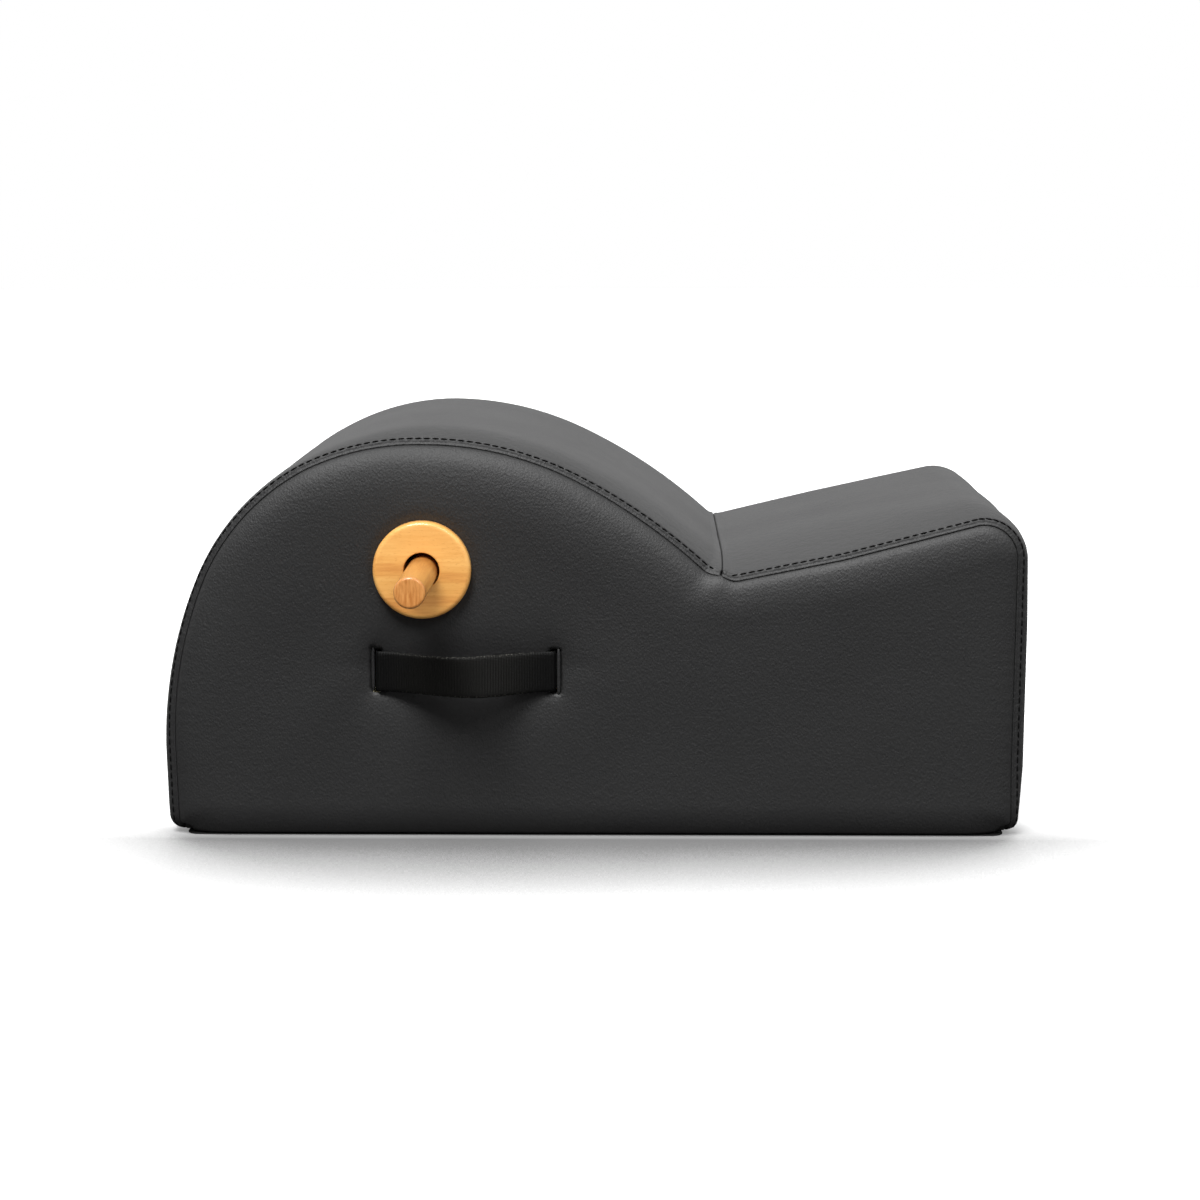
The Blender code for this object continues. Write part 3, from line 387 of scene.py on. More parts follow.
def addCamera():
    pitch, yaw, roll = (math.radians(cameraFacts[key]) for key in ("pitch", "yaw", "roll"))
    ahead = np.array([-math.sin(yaw) * math.cos(pitch), math.cos(yaw) * math.cos(pitch), -math.sin(pitch)])
    right = np.array([math.cos(yaw), math.sin(yaw), 0])
    up = np.cross(right, ahead)
    columns = [
        right * math.cos(roll) + up * math.sin(roll),
        up * math.cos(roll) - right * math.sin(roll),
        -ahead,
        np.array(cameraFacts["place"]),
    ]
    matrix = np.eye(4)
    matrix[:3, :4] = np.stack(columns, axis=1)
    data = bpy.data.cameras.new("Camera")
    data.lens = cameraFacts["lens"]
    data.sensor_width = cameraFacts["sensor"]
    data.sensor_fit = "HORIZONTAL"
    data.clip_end = 60
    camera = bpy.data.objects.new("Camera", data)
    bpy.context.scene.collection.objects.link(camera)
    camera.matrix_world = matrix.T.tolist()
    bpy.context.scene.camera = camera


addCamera()

# Soft studio: sun lamps from the front left at 60 degrees and the front right at 45, softboxes above and to
# the right, a pale backdrop
studio = {
    "key": {"strength": 3.2, "toward": (0.164, 0.448, -0.88), "spread": 28},
    "second": {"strength": 0.6, "toward": (-0.434, 0.549, -0.714), "spread": 14},
    "top": {"power": 5.0, "size": (2.6, 1.8), "place": (0.1, 0.5, 2.6)},
    "right": {"power": 4.0, "size": (0.9, 1.2), "place": (2.1, -1.3, 1.5)},
    "aim": (-0.05, 0.0, 0.2),
    "surround": {"from": (-0.5, 0.1), "to": (1.1, 0.4)},
    "gloss": {"from": (-0.05, 0.45), "to": (0.05, 1.12)},
    "floorColor": "e6e6e6",
    "floorBounce": 0.09,
    "floorLift": 0.40,
    "contactReach": 0.35,
    "contactOpen": (0.60, 0.92, 0.965),
    "contactShown": (0.16, 0.70, 1.0),
    "contactLine": (-0.23, -0.15),
    "floorSize": 30.0,
}


def aimed(place, target):
    # Turn of a lamp at place whose -Z axis points to the target
    away = np.subtract(target, place)
    flat = math.hypot(away[0], away[1])
    return (math.atan2(flat, -away[2]), 0, math.atan2(away[1], away[0]) - math.pi / 2)


def addLamp(name, kind, facts):
    lamp = bpy.data.lights.new(name, kind)
    if kind == "SUN":
        lamp.energy = facts["strength"]
        lamp.angle = math.radians(facts["spread"])
        place = -3 * np.array(facts["toward"])
        turn = aimed(place, (0, 0, 0))
    else:
        lamp.energy = facts["power"]
        lamp.shape = "RECTANGLE"
        lamp.size, lamp.size_y = facts["size"]
        place = facts["place"]
        turn = aimed(place, studio["aim"])
    holder = bpy.data.objects.new(name, lamp)
    holder.location = place
    holder.rotation_euler = turn
    bpy.context.scene.collection.objects.link(holder)


def addStudio():
    addLamp("Key lamp", "SUN", studio["key"])
    addLamp("Second lamp", "SUN", studio["second"])
    addLamp("Top softbox", "AREA", studio["top"])
    addLamp("Right softbox", "AREA", studio["right"])
    world = bpy.data.worlds.new("Studio")
    bpy.context.scene.world = world
    world.use_nodes = True
    tree = world.node_tree
    add = functools.partial(addNode, tree)
    # The backdrop is white, glossy rays see it bright and the room dim, and more soft light comes from the
    # front
    path = add("LightPath")
    way = add("SeparateXYZ", {0: add("TexCoord").outputs["Generated"]}).outputs["Y"]
    ranges = [[*studio[key]["from"], *studio[key]["to"]] for key in ("gloss", "surround")]
    gloss, soft = (add("MapRange", {0: way, **dict(enumerate(values, 1))}) for values in ranges)
    level = add("Mix", {0: path.outputs["Is Glossy Ray"], 2: soft, 3: gloss})
    rays = {0: path.outputs["Is Camera Ray"], 1: path.outputs["Is Transmission Ray"]}
    seen = add("Math", rays, operation="MAXIMUM")
    backdrop = tree.nodes["Background"].inputs
    backdrop["Color"].default_value = (1, 1, 1, 1)
    add("Mix", {0: seen, 2: level, 3: 1.0}, into=backdrop["Strength"])

    half = studio["floorSize"] / 2
    corners = np.array([[-half, -half, 0], [half, -half, 0], [half, half, 0], [-half, half, 0]])
    plain = {"Specular IOR Level": 0.0}
    material, add, sockets, place = startMaterial("Seamless paper floor", studio["floorColor"], 0.9, plain)
    # Seen straight it is pale paper, and it sends less light back up than it shows
    straight = add("LightPath").outputs["Is Camera Ray"]
    shade = hexColor(studio["floorColor"])[0]
    # The wide soft shadow in front of the body is drawn here, by how much of the sky the body hides
    sky = add("AmbientOcclusion", {"Distance": studio["contactReach"]}, samples=8).outputs["AO"]
    low, mid, high = studio["contactOpen"]
    dark, dim, full = studio["contactShown"]
    contact = add("MapRange", {0: sky, 1: low, 2: mid, 3: dark, 4: dim})
    contact = add("MapRange", {0: sky, 1: mid, 2: high, 3: contact, 4: full})
    ahead = add("SeparateXYZ", {0: place}).outputs["Y"]
    near, far = studio["contactLine"]
    front = add("MapRange", {0: ahead, 1: near, 2: far, 3: 0.0, 4: 1.0})
    level = add("Mix", {0: front, 2: contact, 3: 1.0})
    lit = add("Math", {0: level, 1: shade}, operation="MULTIPLY")
    add("Mix", {0: straight, 2: shade * studio["floorBounce"], 3: lit}, into=sockets["Base Color"])
    shown = add("Math", {0: straight, 1: studio["floorLift"]}, operation="MULTIPLY")
    add("Math", {0: shown, 1: level}, operation="MULTIPLY", into=sockets["Emission Strength"])
    sockets["Emission Color"].default_value = (1, 1, 1, 1)
    mesh = makeMesh("Floor", corners, np.array([[0, 1, 2, 3]]), smooth=False)
    mesh.materials.append(material)
    floor = bpy.data.objects.new("Floor", mesh)
    bpy.context.scene.collection.objects.link(floor)
    bpy.context.scene.view_settings.view_transform = "Standard"
    print("camera, lamps and floor")


addStudio()


def leatherette(name, streaks):
    # PU leatherette, embossed with a hair-cell grain and calendered: satin black with broad soft highlights
    material, add, sockets, place = startMaterial(name, "101011", 0.63, {"Specular IOR Level": 1.0})
    # The grain's cells are about 1 mm; drawn at 2.1 mm, a little upright, so that the render can show them
    tall = add("Mapping", {"Vector": place, "Scale": (1.0, 1.0, 0.75)})
    cells = add("TexVoronoi", {"Vector": tall, "Scale": 480.0, "Smoothness": 0.3}, feature="SMOOTH_F1")
    fine = {"Vector": tall, "Scale": 300.0, "Detail": 3.0, "Roughness": 0.7, "Distortion": 1.2}
    wrinkle = add("TexNoise", fine)
    height = add("Math", {0: cells, 1: 0.6, 2: wrinkle}, operation="MULTIPLY_ADD")
    if streaks:
        # Soft unevenness of about 9 mm, as the pull over the deck leaves
        pull = add("TexNoise", {"Vector": place, "Scale": 110.0, "Detail": 2.0})
        height = add("Math", {0: pull, 1: 2.0, 2: height}, operation="MULTIPLY_ADD")
    add("Bump", {"Height": height, "Strength": 0.75, "Distance": 0.0006}, into=sockets["Normal"])
    # Broad patches are a little glossier than the rest
    patch = add("TexNoise", {"Vector": place, "Scale": 9.0, "Detail": 2.0})
    add("MapRange", {0: patch, 1: 0.3, 2: 0.7, 3: 0.61, 4: 0.65}, into=sockets["Roughness"])
    tones = [(0.35, "0e0e0f"), (0.65, "121213")]
    add("ValToRGB", {0: wrinkle}, stops=tones, into=sockets["Base Color"])
    return material


def threadMaterial(name, color):
    # Bonded polyester thread, twisted: duller than the leather, so that each stitch reads
    material, add, sockets, place = startMaterial(name, color, 0.8, {"Specular IOR Level": 0.15})
    twist = add("TexNoise", {"Vector": place, "Scale": 1500.0})
    add("Bump", {"Height": twist, "Strength": 0.3, "Distance": 0.0002}, into=sockets["Normal"])
    return material


def beech(name, grain, light, mid, dark, endFrom=None):
    # Turned beech under clear varnish: honey tones along the grain, short darker ray flecks and a hard shine
    coat = {"Coat Weight": 0.5, "Coat Roughness": 0.16}
    material, add, sockets, place = startMaterial(name, mid, 0.34, coat)
    long, short = (
        add("Mapping", {"Vector": place, "Scale": tuple(share if k == grain else 1.0 for k in range(3))})
        for share in (0.07, 0.24)
    )
    # Grain lines are drawn 2.4 mm apart, coarser than real ones, so that the render can show them
    lines = add("TexNoise", {"Vector": long, "Scale": 420.0, "Detail": 4.0, "Roughness": 0.65})
    broad = add("TexNoise", {"Vector": long, "Scale": 60.0, "Detail": 2.0, "Distortion": 0.6})
    both = add("Math", {0: lines, 1: 0.55, 2: broad}, operation="MULTIPLY_ADD")
    tone = add("ValToRGB", {0: both}, stops=[(0.55, dark), (0.72, mid), (0.95, light)])
    # Ray flecks are 2 to 4 mm long and 0.6 mm wide; drawn at about 4.6 by 1.1 mm
    fleck = add("TexNoise", {"Vector": short, "Scale": 900.0, "Detail": 1.0})
    share = add("MapRange", {0: fleck, 1: 0.60, 2: 0.72, 3: 0.0, 4: 0.55})
    base = sockets["Base Color"]
    color = add("Mix", {0: share, 6: tone, 7: hexColor(dark)}, data_type="RGBA", into=base)
    if endFrom is not None:
        # End grain past a given distance along the rod: browner, with upright growth lines
        along = add("SeparateXYZ", {0: place})
        reach = add("Math", {0: along.outputs["Y"]}, operation="ABSOLUTE")
        isEnd = add("MapRange", {0: reach, 1: endFrom, 2: endFrom + 0.0012})
        upright = add("Mapping", {"Vector": place, "Scale": (1.0, 1.0, 0.12)})
        rings = add("TexNoise", {"Vector": upright, "Scale": 520.0, "Detail": 3.0, "Roughness": 0.7})
        cut = add("ValToRGB", {0: rings}, stops=[(0.36, "b87333"), (0.62, "d3924f")])
        add("Mix", {0: isEnd, 6: color, 7: cut}, data_type="RGBA", into=base)
    add("Bump", {"Height": lines, "Strength": 0.12, "Distance": 0.0002}, into=sockets["Normal"])
    return material


def webbingMaterial():
    # Woven polypropylene webbing: near black, with cross ribs and paler picks along both selvedges
    title, plain = "Ribbed polypropylene webbing, black", {"Specular IOR Level": 0.24}
    material, add, sockets, place = startMaterial(title, "0b0b0a", 0.62, plain)
    uv = add("TexCoord").outputs["UV"]
    parts = add("SeparateXYZ", {0: uv})
    # U and V are in metres; warp ends are drawn 1.4 mm apart where the real ones are about 0.8 mm
    warp = add("Math", {0: parts.outputs["Y"], 1: 2 * math.pi / 0.0014}, operation="MULTIPLY")
    warp = add("Math", {0: warp}, operation="SINE")
    fuzz = add("TexNoise", {"Vector": uv, "Scale": 900.0, "Detail": 2.0})
    height = add("Math", {0: warp, 1: 0.35, 2: fuzz}, operation="MULTIPLY_ADD")
    add("Bump", {"Height": height, "Strength": 0.5, "Distance": 0.0003}, into=sockets["Normal"])
    fromMiddle = add("Math", {0: parts.outputs["Y"]}, operation="ABSOLUTE")
    selvedge = add("MapRange", {0: fromMiddle, 1: 0.0180, 2: 0.0192})
    speck = add("TexNoise", {"Vector": uv, "Scale": 520.0, "Detail": 1.0})
    bright = add("MapRange", {0: speck, 1: 0.54, 2: 0.64})
    share = add("Math", {0: selvedge, 1: bright}, operation="MULTIPLY")
    tone = add("ValToRGB", {0: fuzz}, stops=[(0.3, "070706"), (0.7, "11100d")])
    color = add("Mix", {0: share, 6: tone, 7: hexColor("45443f")}, data_type="RGBA")
    # Painted shade: next to the slits the webbing's colour is darkened to a deeper black than on the grip
    along = add("SeparateXYZ", {0: place}).outputs["X"]
    fromGrip = add("Math", {0: along, 1: strap["x"]}, operation="SUBTRACT")
    fromGrip = add("Math", {0: fromGrip}, operation="ABSOLUTE")
    slitShade = add("MapRange", {0: fromGrip, 1: 0.045, 2: 0.078})
    dark = hexColor("020202")
    add("Mix", {0: slitShade, 6: color, 7: dark}, data_type="RGBA", into=sockets["Base Color"])
    return material


strap = {
    "x": -0.1258,
    "z": 0.168,
    "halfSpan": 0.0879,
    "slitLength": 0.0415,
    "width": 0.040,
    "thickness": 0.0026,
    "bow": 0.030,
    "standOff": -0.0062,
    "bend": 0.005,
    "slant": 14.0,
    "sway": 0.8,
    "tail": 0.048,
    "tailBend": 0.0045,
    "tailFace": 0.185,
    "tailGap": 0.0016,
    "across": 15,
    "ribSteps": 10,
    "edgeThin": (14, 0.16),
    "ribPitch": 0.0028,
    "ribHeight": 0.00042,
    "lean": ((-0.38, 0.32, -8.0), (0.33, 0.34, 11.0)),
}
materials = {
    "leather": leatherette("Calendered PU leatherette, side panels", False),
    "bandLeather": leatherette("Calendered PU leatherette, barrel and seat", True),
    "thread": threadMaterial("Twisted polyester thread, black", "050505"),
    "seamThread": threadMaterial("Twisted polyester thread, charcoal", "151516"),
    "ring": beech("Turned beech, varnished", 0, "efb768", "e6a758", "d69148"),
    "dowel": beech("Turned beech rod, varnished", 1, "cb9049", "be803c", "a5652c", endFrom=0.3622),
    "webbing": webbingMaterial(),
}

# Side panels: a crowned sheet inside the seam, pulled in round the ring and at the strap's slits
sidePanel = {
    "fullTilt": ((0, 60), (4, 46), (8, 36), (13, 26), (20, 16), (40, 7), (60, 2), (75, 0)),
    "lowTilt": ((0, 37), (5.5, 35), (7.5, 22), (14, 14), (22, 9), (30, 4.5), (40, 0)),
    "edgeStep": 0.00055,
    "coarseAlong": 0.0046,
    "coarseUp": 0.0042,
    "edgeReach": 0.013,
    "slitStep": 0.0012,
    "roll": 0.0020,
    "tuck": 0.0035,
    "thickness": 0.0011,
    "wave": 0.00035,
    "waveSize": 0.13,
    "seeds": {"front": 11, "rear": 29},
    "puckerDepth": 0.00018,
    "puckerReach": 0.010,
    "puckerPitch": 0.014,
    "seamGap": 0.0010,
    "dimple": (0.0045, 0.075, 0.022, 0.030),
    "slitHole": (0.0046, 0.0214, 0.0030),
    "slitWell": (0.0034, 0.0014),
    "drawnIn": ((0.0015, 0.012), (0.0008, 0.034)),
    "pinch": {"depth": 0.0004, "reach": 0.0065, "inwards": 0.007, "below": 0.0285},
    "fold": {"depth": 0.0007, "reach": 0.011, "outwards": 0.020, "above": 0.006, "stretch": 2.2},
    "hem": 0.012,
    "hemRows": 9,
    "leftCorner": 0.52,
    "gridSize": (0.83, 0.30),
    "slitShares": (0.2403, 0.4535),
    "strapShare": (0.45, 0.033, 1.3, 0.012),
}
welt = {
    "halfLength": 0.0234,
    "innerHalf": 0.0192,
    "radius": 0.0019,
    "flat": 0.95,
    "fromSlit": 0.0036,
    "sunk": 0.0006,
    "depthAt": 0.0085,
    "lift": {-1: 0.0030, 1: -0.0006},
    "rows": 41,
    "sides": 20,
}
ring = {
    "x": -0.167,
    "z": 0.270,
    "radius": 0.048,
    "proud": 0.0115,
    "rounding": 0.0048,
    "spigot": 0.025,
    "inner": 0.185,
    "bore": 0.0175,
    "chamfer": 0.0012,
    "seat": 0.0018,
    "seatReach": 0.010,
    "hole": 0.0263,
}


def crownCurve(table):
    # Depth by distance from the seam: the sum of the tangents of the table's tilts, from the far end back
    places, tilts = np.transpose(table)
    away = np.arange(0, places[-1] + 1e-9, 0.1) / 1000
    slope = np.tan(np.radians(np.interp(away * 1000, places, tilts)))
    return away, np.cumsum(slope[::-1])[::-1] * 0.0001


fullAway, fullDepth = crownCurve(sidePanel["fullTilt"])
lowAway, lowDepth = crownCurve(sidePanel["lowTilt"])


def crownDepth(s, away):
    # The full and the low crown mixed by the share that holds at each place
    full = edgeValue(s, "full")
    return full * np.interp(away, fullAway, fullDepth) + (1 - full) * np.interp(away, lowAway, lowDepth)


def panelDepth(x, z, seed):
    # Depth behind the widest plane: the crown by the distance from the seam, the foot's curl, pulls and waves
    reach, place = nearestOnEdge(np.stack([x, z], axis=1))
    away = np.clip(reach - edgeValue(place, "inset"), 0, None)
    depth = crownDepth(place, away) + curlDepth(z) + sidePanel["tuck"] * (away < 1e-5)
    depth += rollIn(np.clip(away - sidePanel["seamGap"], 0, None), sidePanel["roll"])
    wave = softNoise(x, z, sidePanel["waveSize"], seed) + 0.4
    depth += sidePanel["wave"] * wave * smoothStep(away, 0.004, 0.05)
    drift = softNoise(place, 0 * place, 0.06, seed + 3)
    pucker = np.sin(2 * math.pi * place / sidePanel["puckerPitch"] + 2.5 * drift)
    fade = np.exp(-away / sidePanel["puckerReach"]) * smoothStep(away, 0.001, 0.004)
    depth += sidePanel["puckerDepth"] * pucker * fade
    fromRing = np.hypot(x - ring["x"], z - ring["z"]) - ring["radius"]
    depth += ring["seat"] * (1 - smoothStep(fromRing, -0.001, ring["seatReach"]))
    # The strap's whole field is drawn in
    deep, halfLength, fade, high = sidePanel["dimple"]
    past = np.clip(np.abs(x - strap["x"]) - halfLength, 0, None)
    depth += deep * np.exp(-((past / fade) ** 2) - ((z - strap["z"]) / high) ** 2)
    for side in (-1, 1):
        # Each slit draws its surroundings in and lifts a pinch below its inner end; the leather sinks by a
        # narrow step all round the hole and the outer roll
        across = x - (strap["x"] + side * strap["halfSpan"])
        wide, tall, corner = sidePanel["slitHole"]
        roll = across - side * welt["fromSlit"]
        rollUp = np.abs(z - strap["z"] - welt["lift"][side]) - welt["halfLength"] + welt["radius"]
        pastWide = np.clip(np.abs(across) - wide + corner, 0, None)
        pastTall = np.clip(np.abs(z - strap["z"]) - tall + corner, 0, None)
        pastHole = np.hypot(pastWide, pastTall) - corner
        past = np.minimum(pastHole, np.hypot(roll, np.clip(rollUp, 0, None)) - welt["radius"])
        well, step = sidePanel["slitWell"]
        inside = 1 - smoothStep(rollUp - welt["radius"], -0.003, 0.001)
        depth += well * inside * (1 - smoothStep(past, 0.0001, step))
        up = np.clip(np.abs(z - strap["z"]) - (strap["slitLength"] / 2 - 0.004), 0, None)
        gap = np.hypot(across, up)
        (deep, near), (shallow, far) = sidePanel["drawnIn"]
        depth += deep * np.exp(-((gap / near) ** 2)) + shallow * np.exp(-((gap / far) ** 2))
        pinch, fold = sidePanel["pinch"], sidePanel["fold"]
        fromPinch = np.hypot(across + side * pinch["inwards"], z - strap["z"] + pinch["below"])
        depth -= pinch["depth"] * np.exp(-((fromPinch / pinch["reach"]) ** 2))
        foldAcross = (across - side * fold["outwards"]) / fold["stretch"]
        fromFold = np.hypot(foldAcross, z - strap["z"] - fold["above"])
        depth += fold["depth"] * np.exp(-((fromFold / fold["reach"]) ** 2))
    return depth


def snapHoles(points, quads, holes):
    # Drops the quads that touch a hole, then draws the raw border onto the hole's outline
    inner = np.zeros(len(points), bool)
    for centre, half, corner in holes:
        offset = np.abs(points - centre) - (np.array(half) - corner)
        inner |= np.linalg.norm(np.clip(offset, 0, None), axis=1) < corner
    keep = ~inner[quads].any(axis=1)
    border = np.zeros(len(points), bool)
    border[quads[~keep].ravel()] = True
    kept = np.zeros(len(points), bool)
    kept[quads[keep].ravel()] = True
    border &= kept
    moved = points.copy()
    for centre, half, corner in holes:
        offset = points - centre
        core = np.clip(offset, -(np.array(half) - corner), np.array(half) - corner)
        away = offset - core
        length = np.linalg.norm(away, axis=1, keepdims=True)
        near = border & (length[:, 0] < corner + 0.012)
        moved[near] = (centre + core + away / np.maximum(length, 1e-9) * corner)[near]
    return moved, quads[keep], kept


def placeWhere(axis, start, stop, values):
    # Distances along the seam between two marks at which its X or Z has the given values
    s = np.linspace(start, stop, 4000)
    return np.interp(values, np.maximum.accumulate(seamLine(s)[:, axis]), s)


def sideGrid():
    # Coons patch: the sum of the two ruled surfaces between opposite borders, less the one through the
    # corners
    s = edge["marks"]
    first = s["shoulder"] + sidePanel["leftCorner"] * (s["crownLeft"] - s["shoulder"])
    ends = [(share, 0.0, sidePanel["edgeStep"], sidePanel["edgeReach"]) for share in (0, 1)]
    slits = [(share, 0.007, sidePanel["slitStep"], 0.008) for share in sidePanel["slitShares"]]
    share, halfWidth, coarser, reach = sidePanel["strapShare"]
    level = [(share, halfWidth, sidePanel["slitStep"] * coarser, reach)]
    u = gradedSteps(sidePanel["gridSize"][0], sidePanel["coarseAlong"], ends + slits)[:, None]
    v = gradedSteps(sidePanel["gridSize"][1], sidePanel["coarseUp"], ends + level)[:, None]
    corner = seamLine(np.array([0.0, first, s["corner"], s["end"]]))
    top = seamLine(placeWhere(0, first, s["corner"], corner[1, 0] + (corner[2, 0] - corner[1, 0]) * u[:, 0]))
    left = seamLine(placeWhere(1, 0.0, first, corner[0, 1] + (corner[1, 1] - corner[0, 1]) * v[:, 0]))
    heights = corner[3, 1] + (corner[2, 1] - corner[3, 1]) * v[::-1, 0]
    s2 = np.linspace(s["corner"], s["end"], 4000)
    drop = np.minimum.accumulate(seamLine(s2)[:, 1])
    right = seamLine(np.interp(heights, drop[::-1], s2[::-1]))[::-1]
    top[[0, -1]], left[[0, -1]], right[[0, -1]] = corner[[1, 2]], corner[[0, 1]], corner[[3, 2]]
    top, left, right, u, v = top[None], left[:, None], right[:, None], u[None], v[:, None]
    bottom = left[:1] + (right[:1] - left[:1]) * u
    low = (1 - u) * (1 - v) * left[:1] + u * (1 - v) * right[:1]
    corners = low + (1 - u) * v * left[-1:] + u * v * right[-1:]
    return (1 - v) * bottom + v * top + (1 - u) * left + u * right - corners


def buildSides():
    patch = sideGrid()
    # Rows that carry the foot's curl under the body, and a hem beyond it
    _, high = body["sideCurl"]
    low = patch[0, :, 1].mean()
    first = math.asin((high + body["floorGap"] - low) / high)
    curl = np.linspace(first, math.pi / 2, sidePanel["hemRows"])[1:]
    drops = high * np.sin(np.concatenate([curl, curl[-1:]]))
    under = np.repeat(patch[:1], len(drops), axis=0)
    under[..., 1] = (high + body["floorGap"] - drops)[:, None]
    patch = np.concatenate([under[::-1], patch])
    rows, columns = patch.shape[:2]
    hem = np.zeros((rows, columns))
    hem[0] = sidePanel["hem"]
    flat, hem = patch.reshape(-1, 2), hem.ravel()
    quads = gridFaces(rows, columns)
    a, b, d = (flat[quads[:, k]] for k in (0, 1, 3))
    turned = (b - a)[:, 0] * (d - a)[:, 1] - (b - a)[:, 1] * (d - a)[:, 0]
    print("side grid", rows, "x", columns, "folded cells", int((turned < 0).sum()))
    wide, tall, corner = sidePanel["slitHole"]
    holes = [((ring["x"], ring["z"]), (ring["hole"],) * 2, ring["hole"])]
    holes += [((strap["x"] + side * strap["halfSpan"], strap["z"]), (wide, tall), corner) for side in (-1, 1)]
    flat, quads, kept = snapHoles(flat, quads, holes)
    renumber = np.cumsum(kept) - 1
    flat, hem, quads = flat[kept], hem[kept], renumber[quads]
    for (name, seed), side in zip(sidePanel["seeds"].items(), (-1, 1)):
        depth = panelDepth(flat[:, 0], flat[:, 1], seed) + hem
        points = np.stack([flat[:, 0], side * (body["depth"] / 2 - depth), flat[:, 1]], axis=1)
        mesh = makeMesh(name + "_side_leather", points, quads if side < 0 else quads[:, ::-1])
        piece = addPiece(name + "_side_leather", mesh, materials["leather"], [name + "_side_cover"])
        thicken(piece, sidePanel["thickness"])
    print("side panels", len(quads), "quads each")


buildSides()

# The band round the body: a topstitched strip beside each seam, then a wide crown up to the middle
band = {
    "profile": (
        (0, 62), (0.5, 55), (1.2, 36), (2.0, 34), (2.5, 16), (5.8, 15),
        (6.4, 50), (7.2, 80), (8.4, 87), (10.0, 90),
    ),
    "riseFrom": 0.0062,
    "rearReach": 0.0150,
    "seamGap": 0.0004,
    "acrossCoarse": 0.0016,
    "acrossFine": ((0, 0.0014, 0.00020, 0.003), (0.207, 0.0012, 0.0004, 0.003)),
    "edgeStep": 0.0006,
    "coarse": 0.0034,
    "edgeReach": 0.012,
    "flatFine": 0.0030,
    "flatCoarse": 0.016,
    "roll": 0.0010,
    "tuck": 0.0048,
    "thickness": 0.0011,
    "stitchAway": 0.0060,
    "grooveDepth": 0.0007,
    "grooveWidth": 0.0011,
    "creaseRoll": 0.0032,
    "creaseTuck": 0.0060,
    "wave": 0.00040,
    "waveSize": 0.16,
}
stitch = {
    "pitch": 0.0086,
    "shape": {"length": 0.0068, "radius": 0.00080, "dip": 0.0005, "rise": 0.00010, "rings": 5, "sides": 6},
    "seamPitch": 0.0031,
    "seamShape": {"length": 0.0030, "radius": 0.00055, "dip": 0.0006, "rise": 0.0, "rings": 4, "sides": 5},
    "seamAway": 0.0004,
    "seamSunk": 0.0024,
}


def bandProfile():
    # Rise and setback by distance from the seam: the seam gap plus the sum of the cosines of the table's
    # tilt, in degrees off the side plane, and the sum of its sines
    away = np.arange(0, band["profile"][-1][0] + 1e-9, 0.05) / 1000
    places, tilts = np.transpose(band["profile"])
    tilt = np.radians(np.interp(away * 1000, places, tilts))
    rise = band["seamGap"] + np.concatenate([[0], np.cumsum(np.cos(tilt[:-1]) * np.diff(away))])
    back = np.concatenate([[0], np.cumsum(np.sin(tilt[:-1]) * np.diff(away))])
    return away, rise, back


profileAway, profileRise, profileBack = bandProfile()


def bandRise(away, s, side):
    # Height over the seam: the profile's own, then the rest of the inset and the bulge times t * (2 - t),
    # with t the share of the way from the stitches to the end of the rounding, which ends sooner at the rear
    inset, bulge, reach = (edgeValue(s, fact) for fact in ("inset", "bulge", "reach"))
    reach = np.where(side > 0, np.minimum(reach, band["rearReach"]), reach)
    t = np.clip((away - band["riseFrom"]) / reach, 0, 1)
    return np.interp(away, profileAway, profileRise) + (inset + bulge - profileRise[-1]) * t * (2 - t)


def bandSection():
    # Across the band: distance from the nearer seam, the side it is on and how far each flange row is tucked
    wide = profileAway[-1]
    edgeAway = wide * gradedSteps(wide, band["acrossCoarse"], band["acrossFine"])
    half = body["depth"] / 2 - fullDepth[0] - profileBack[-1]
    spots = [(share, 0.0, band["flatFine"], 0.02) for share in (0, 1)]
    flat = half * (1 - 2 * gradedSteps(2 * half, band["flatCoarse"], spots))[1:-1]
    middle = wide + half - np.abs(flat)
    away = np.concatenate([edgeAway[:1], edgeAway, middle, edgeAway[::-1], edgeAway[:1]])
    rear = np.ones(len(edgeAway) + 1)
    side = np.concatenate([rear, np.where(flat < 0, -1, 1), -rear])
    tucked = np.zeros(len(away))
    tucked[[0, -1]] = band["tuck"]
    return away, side, tucked


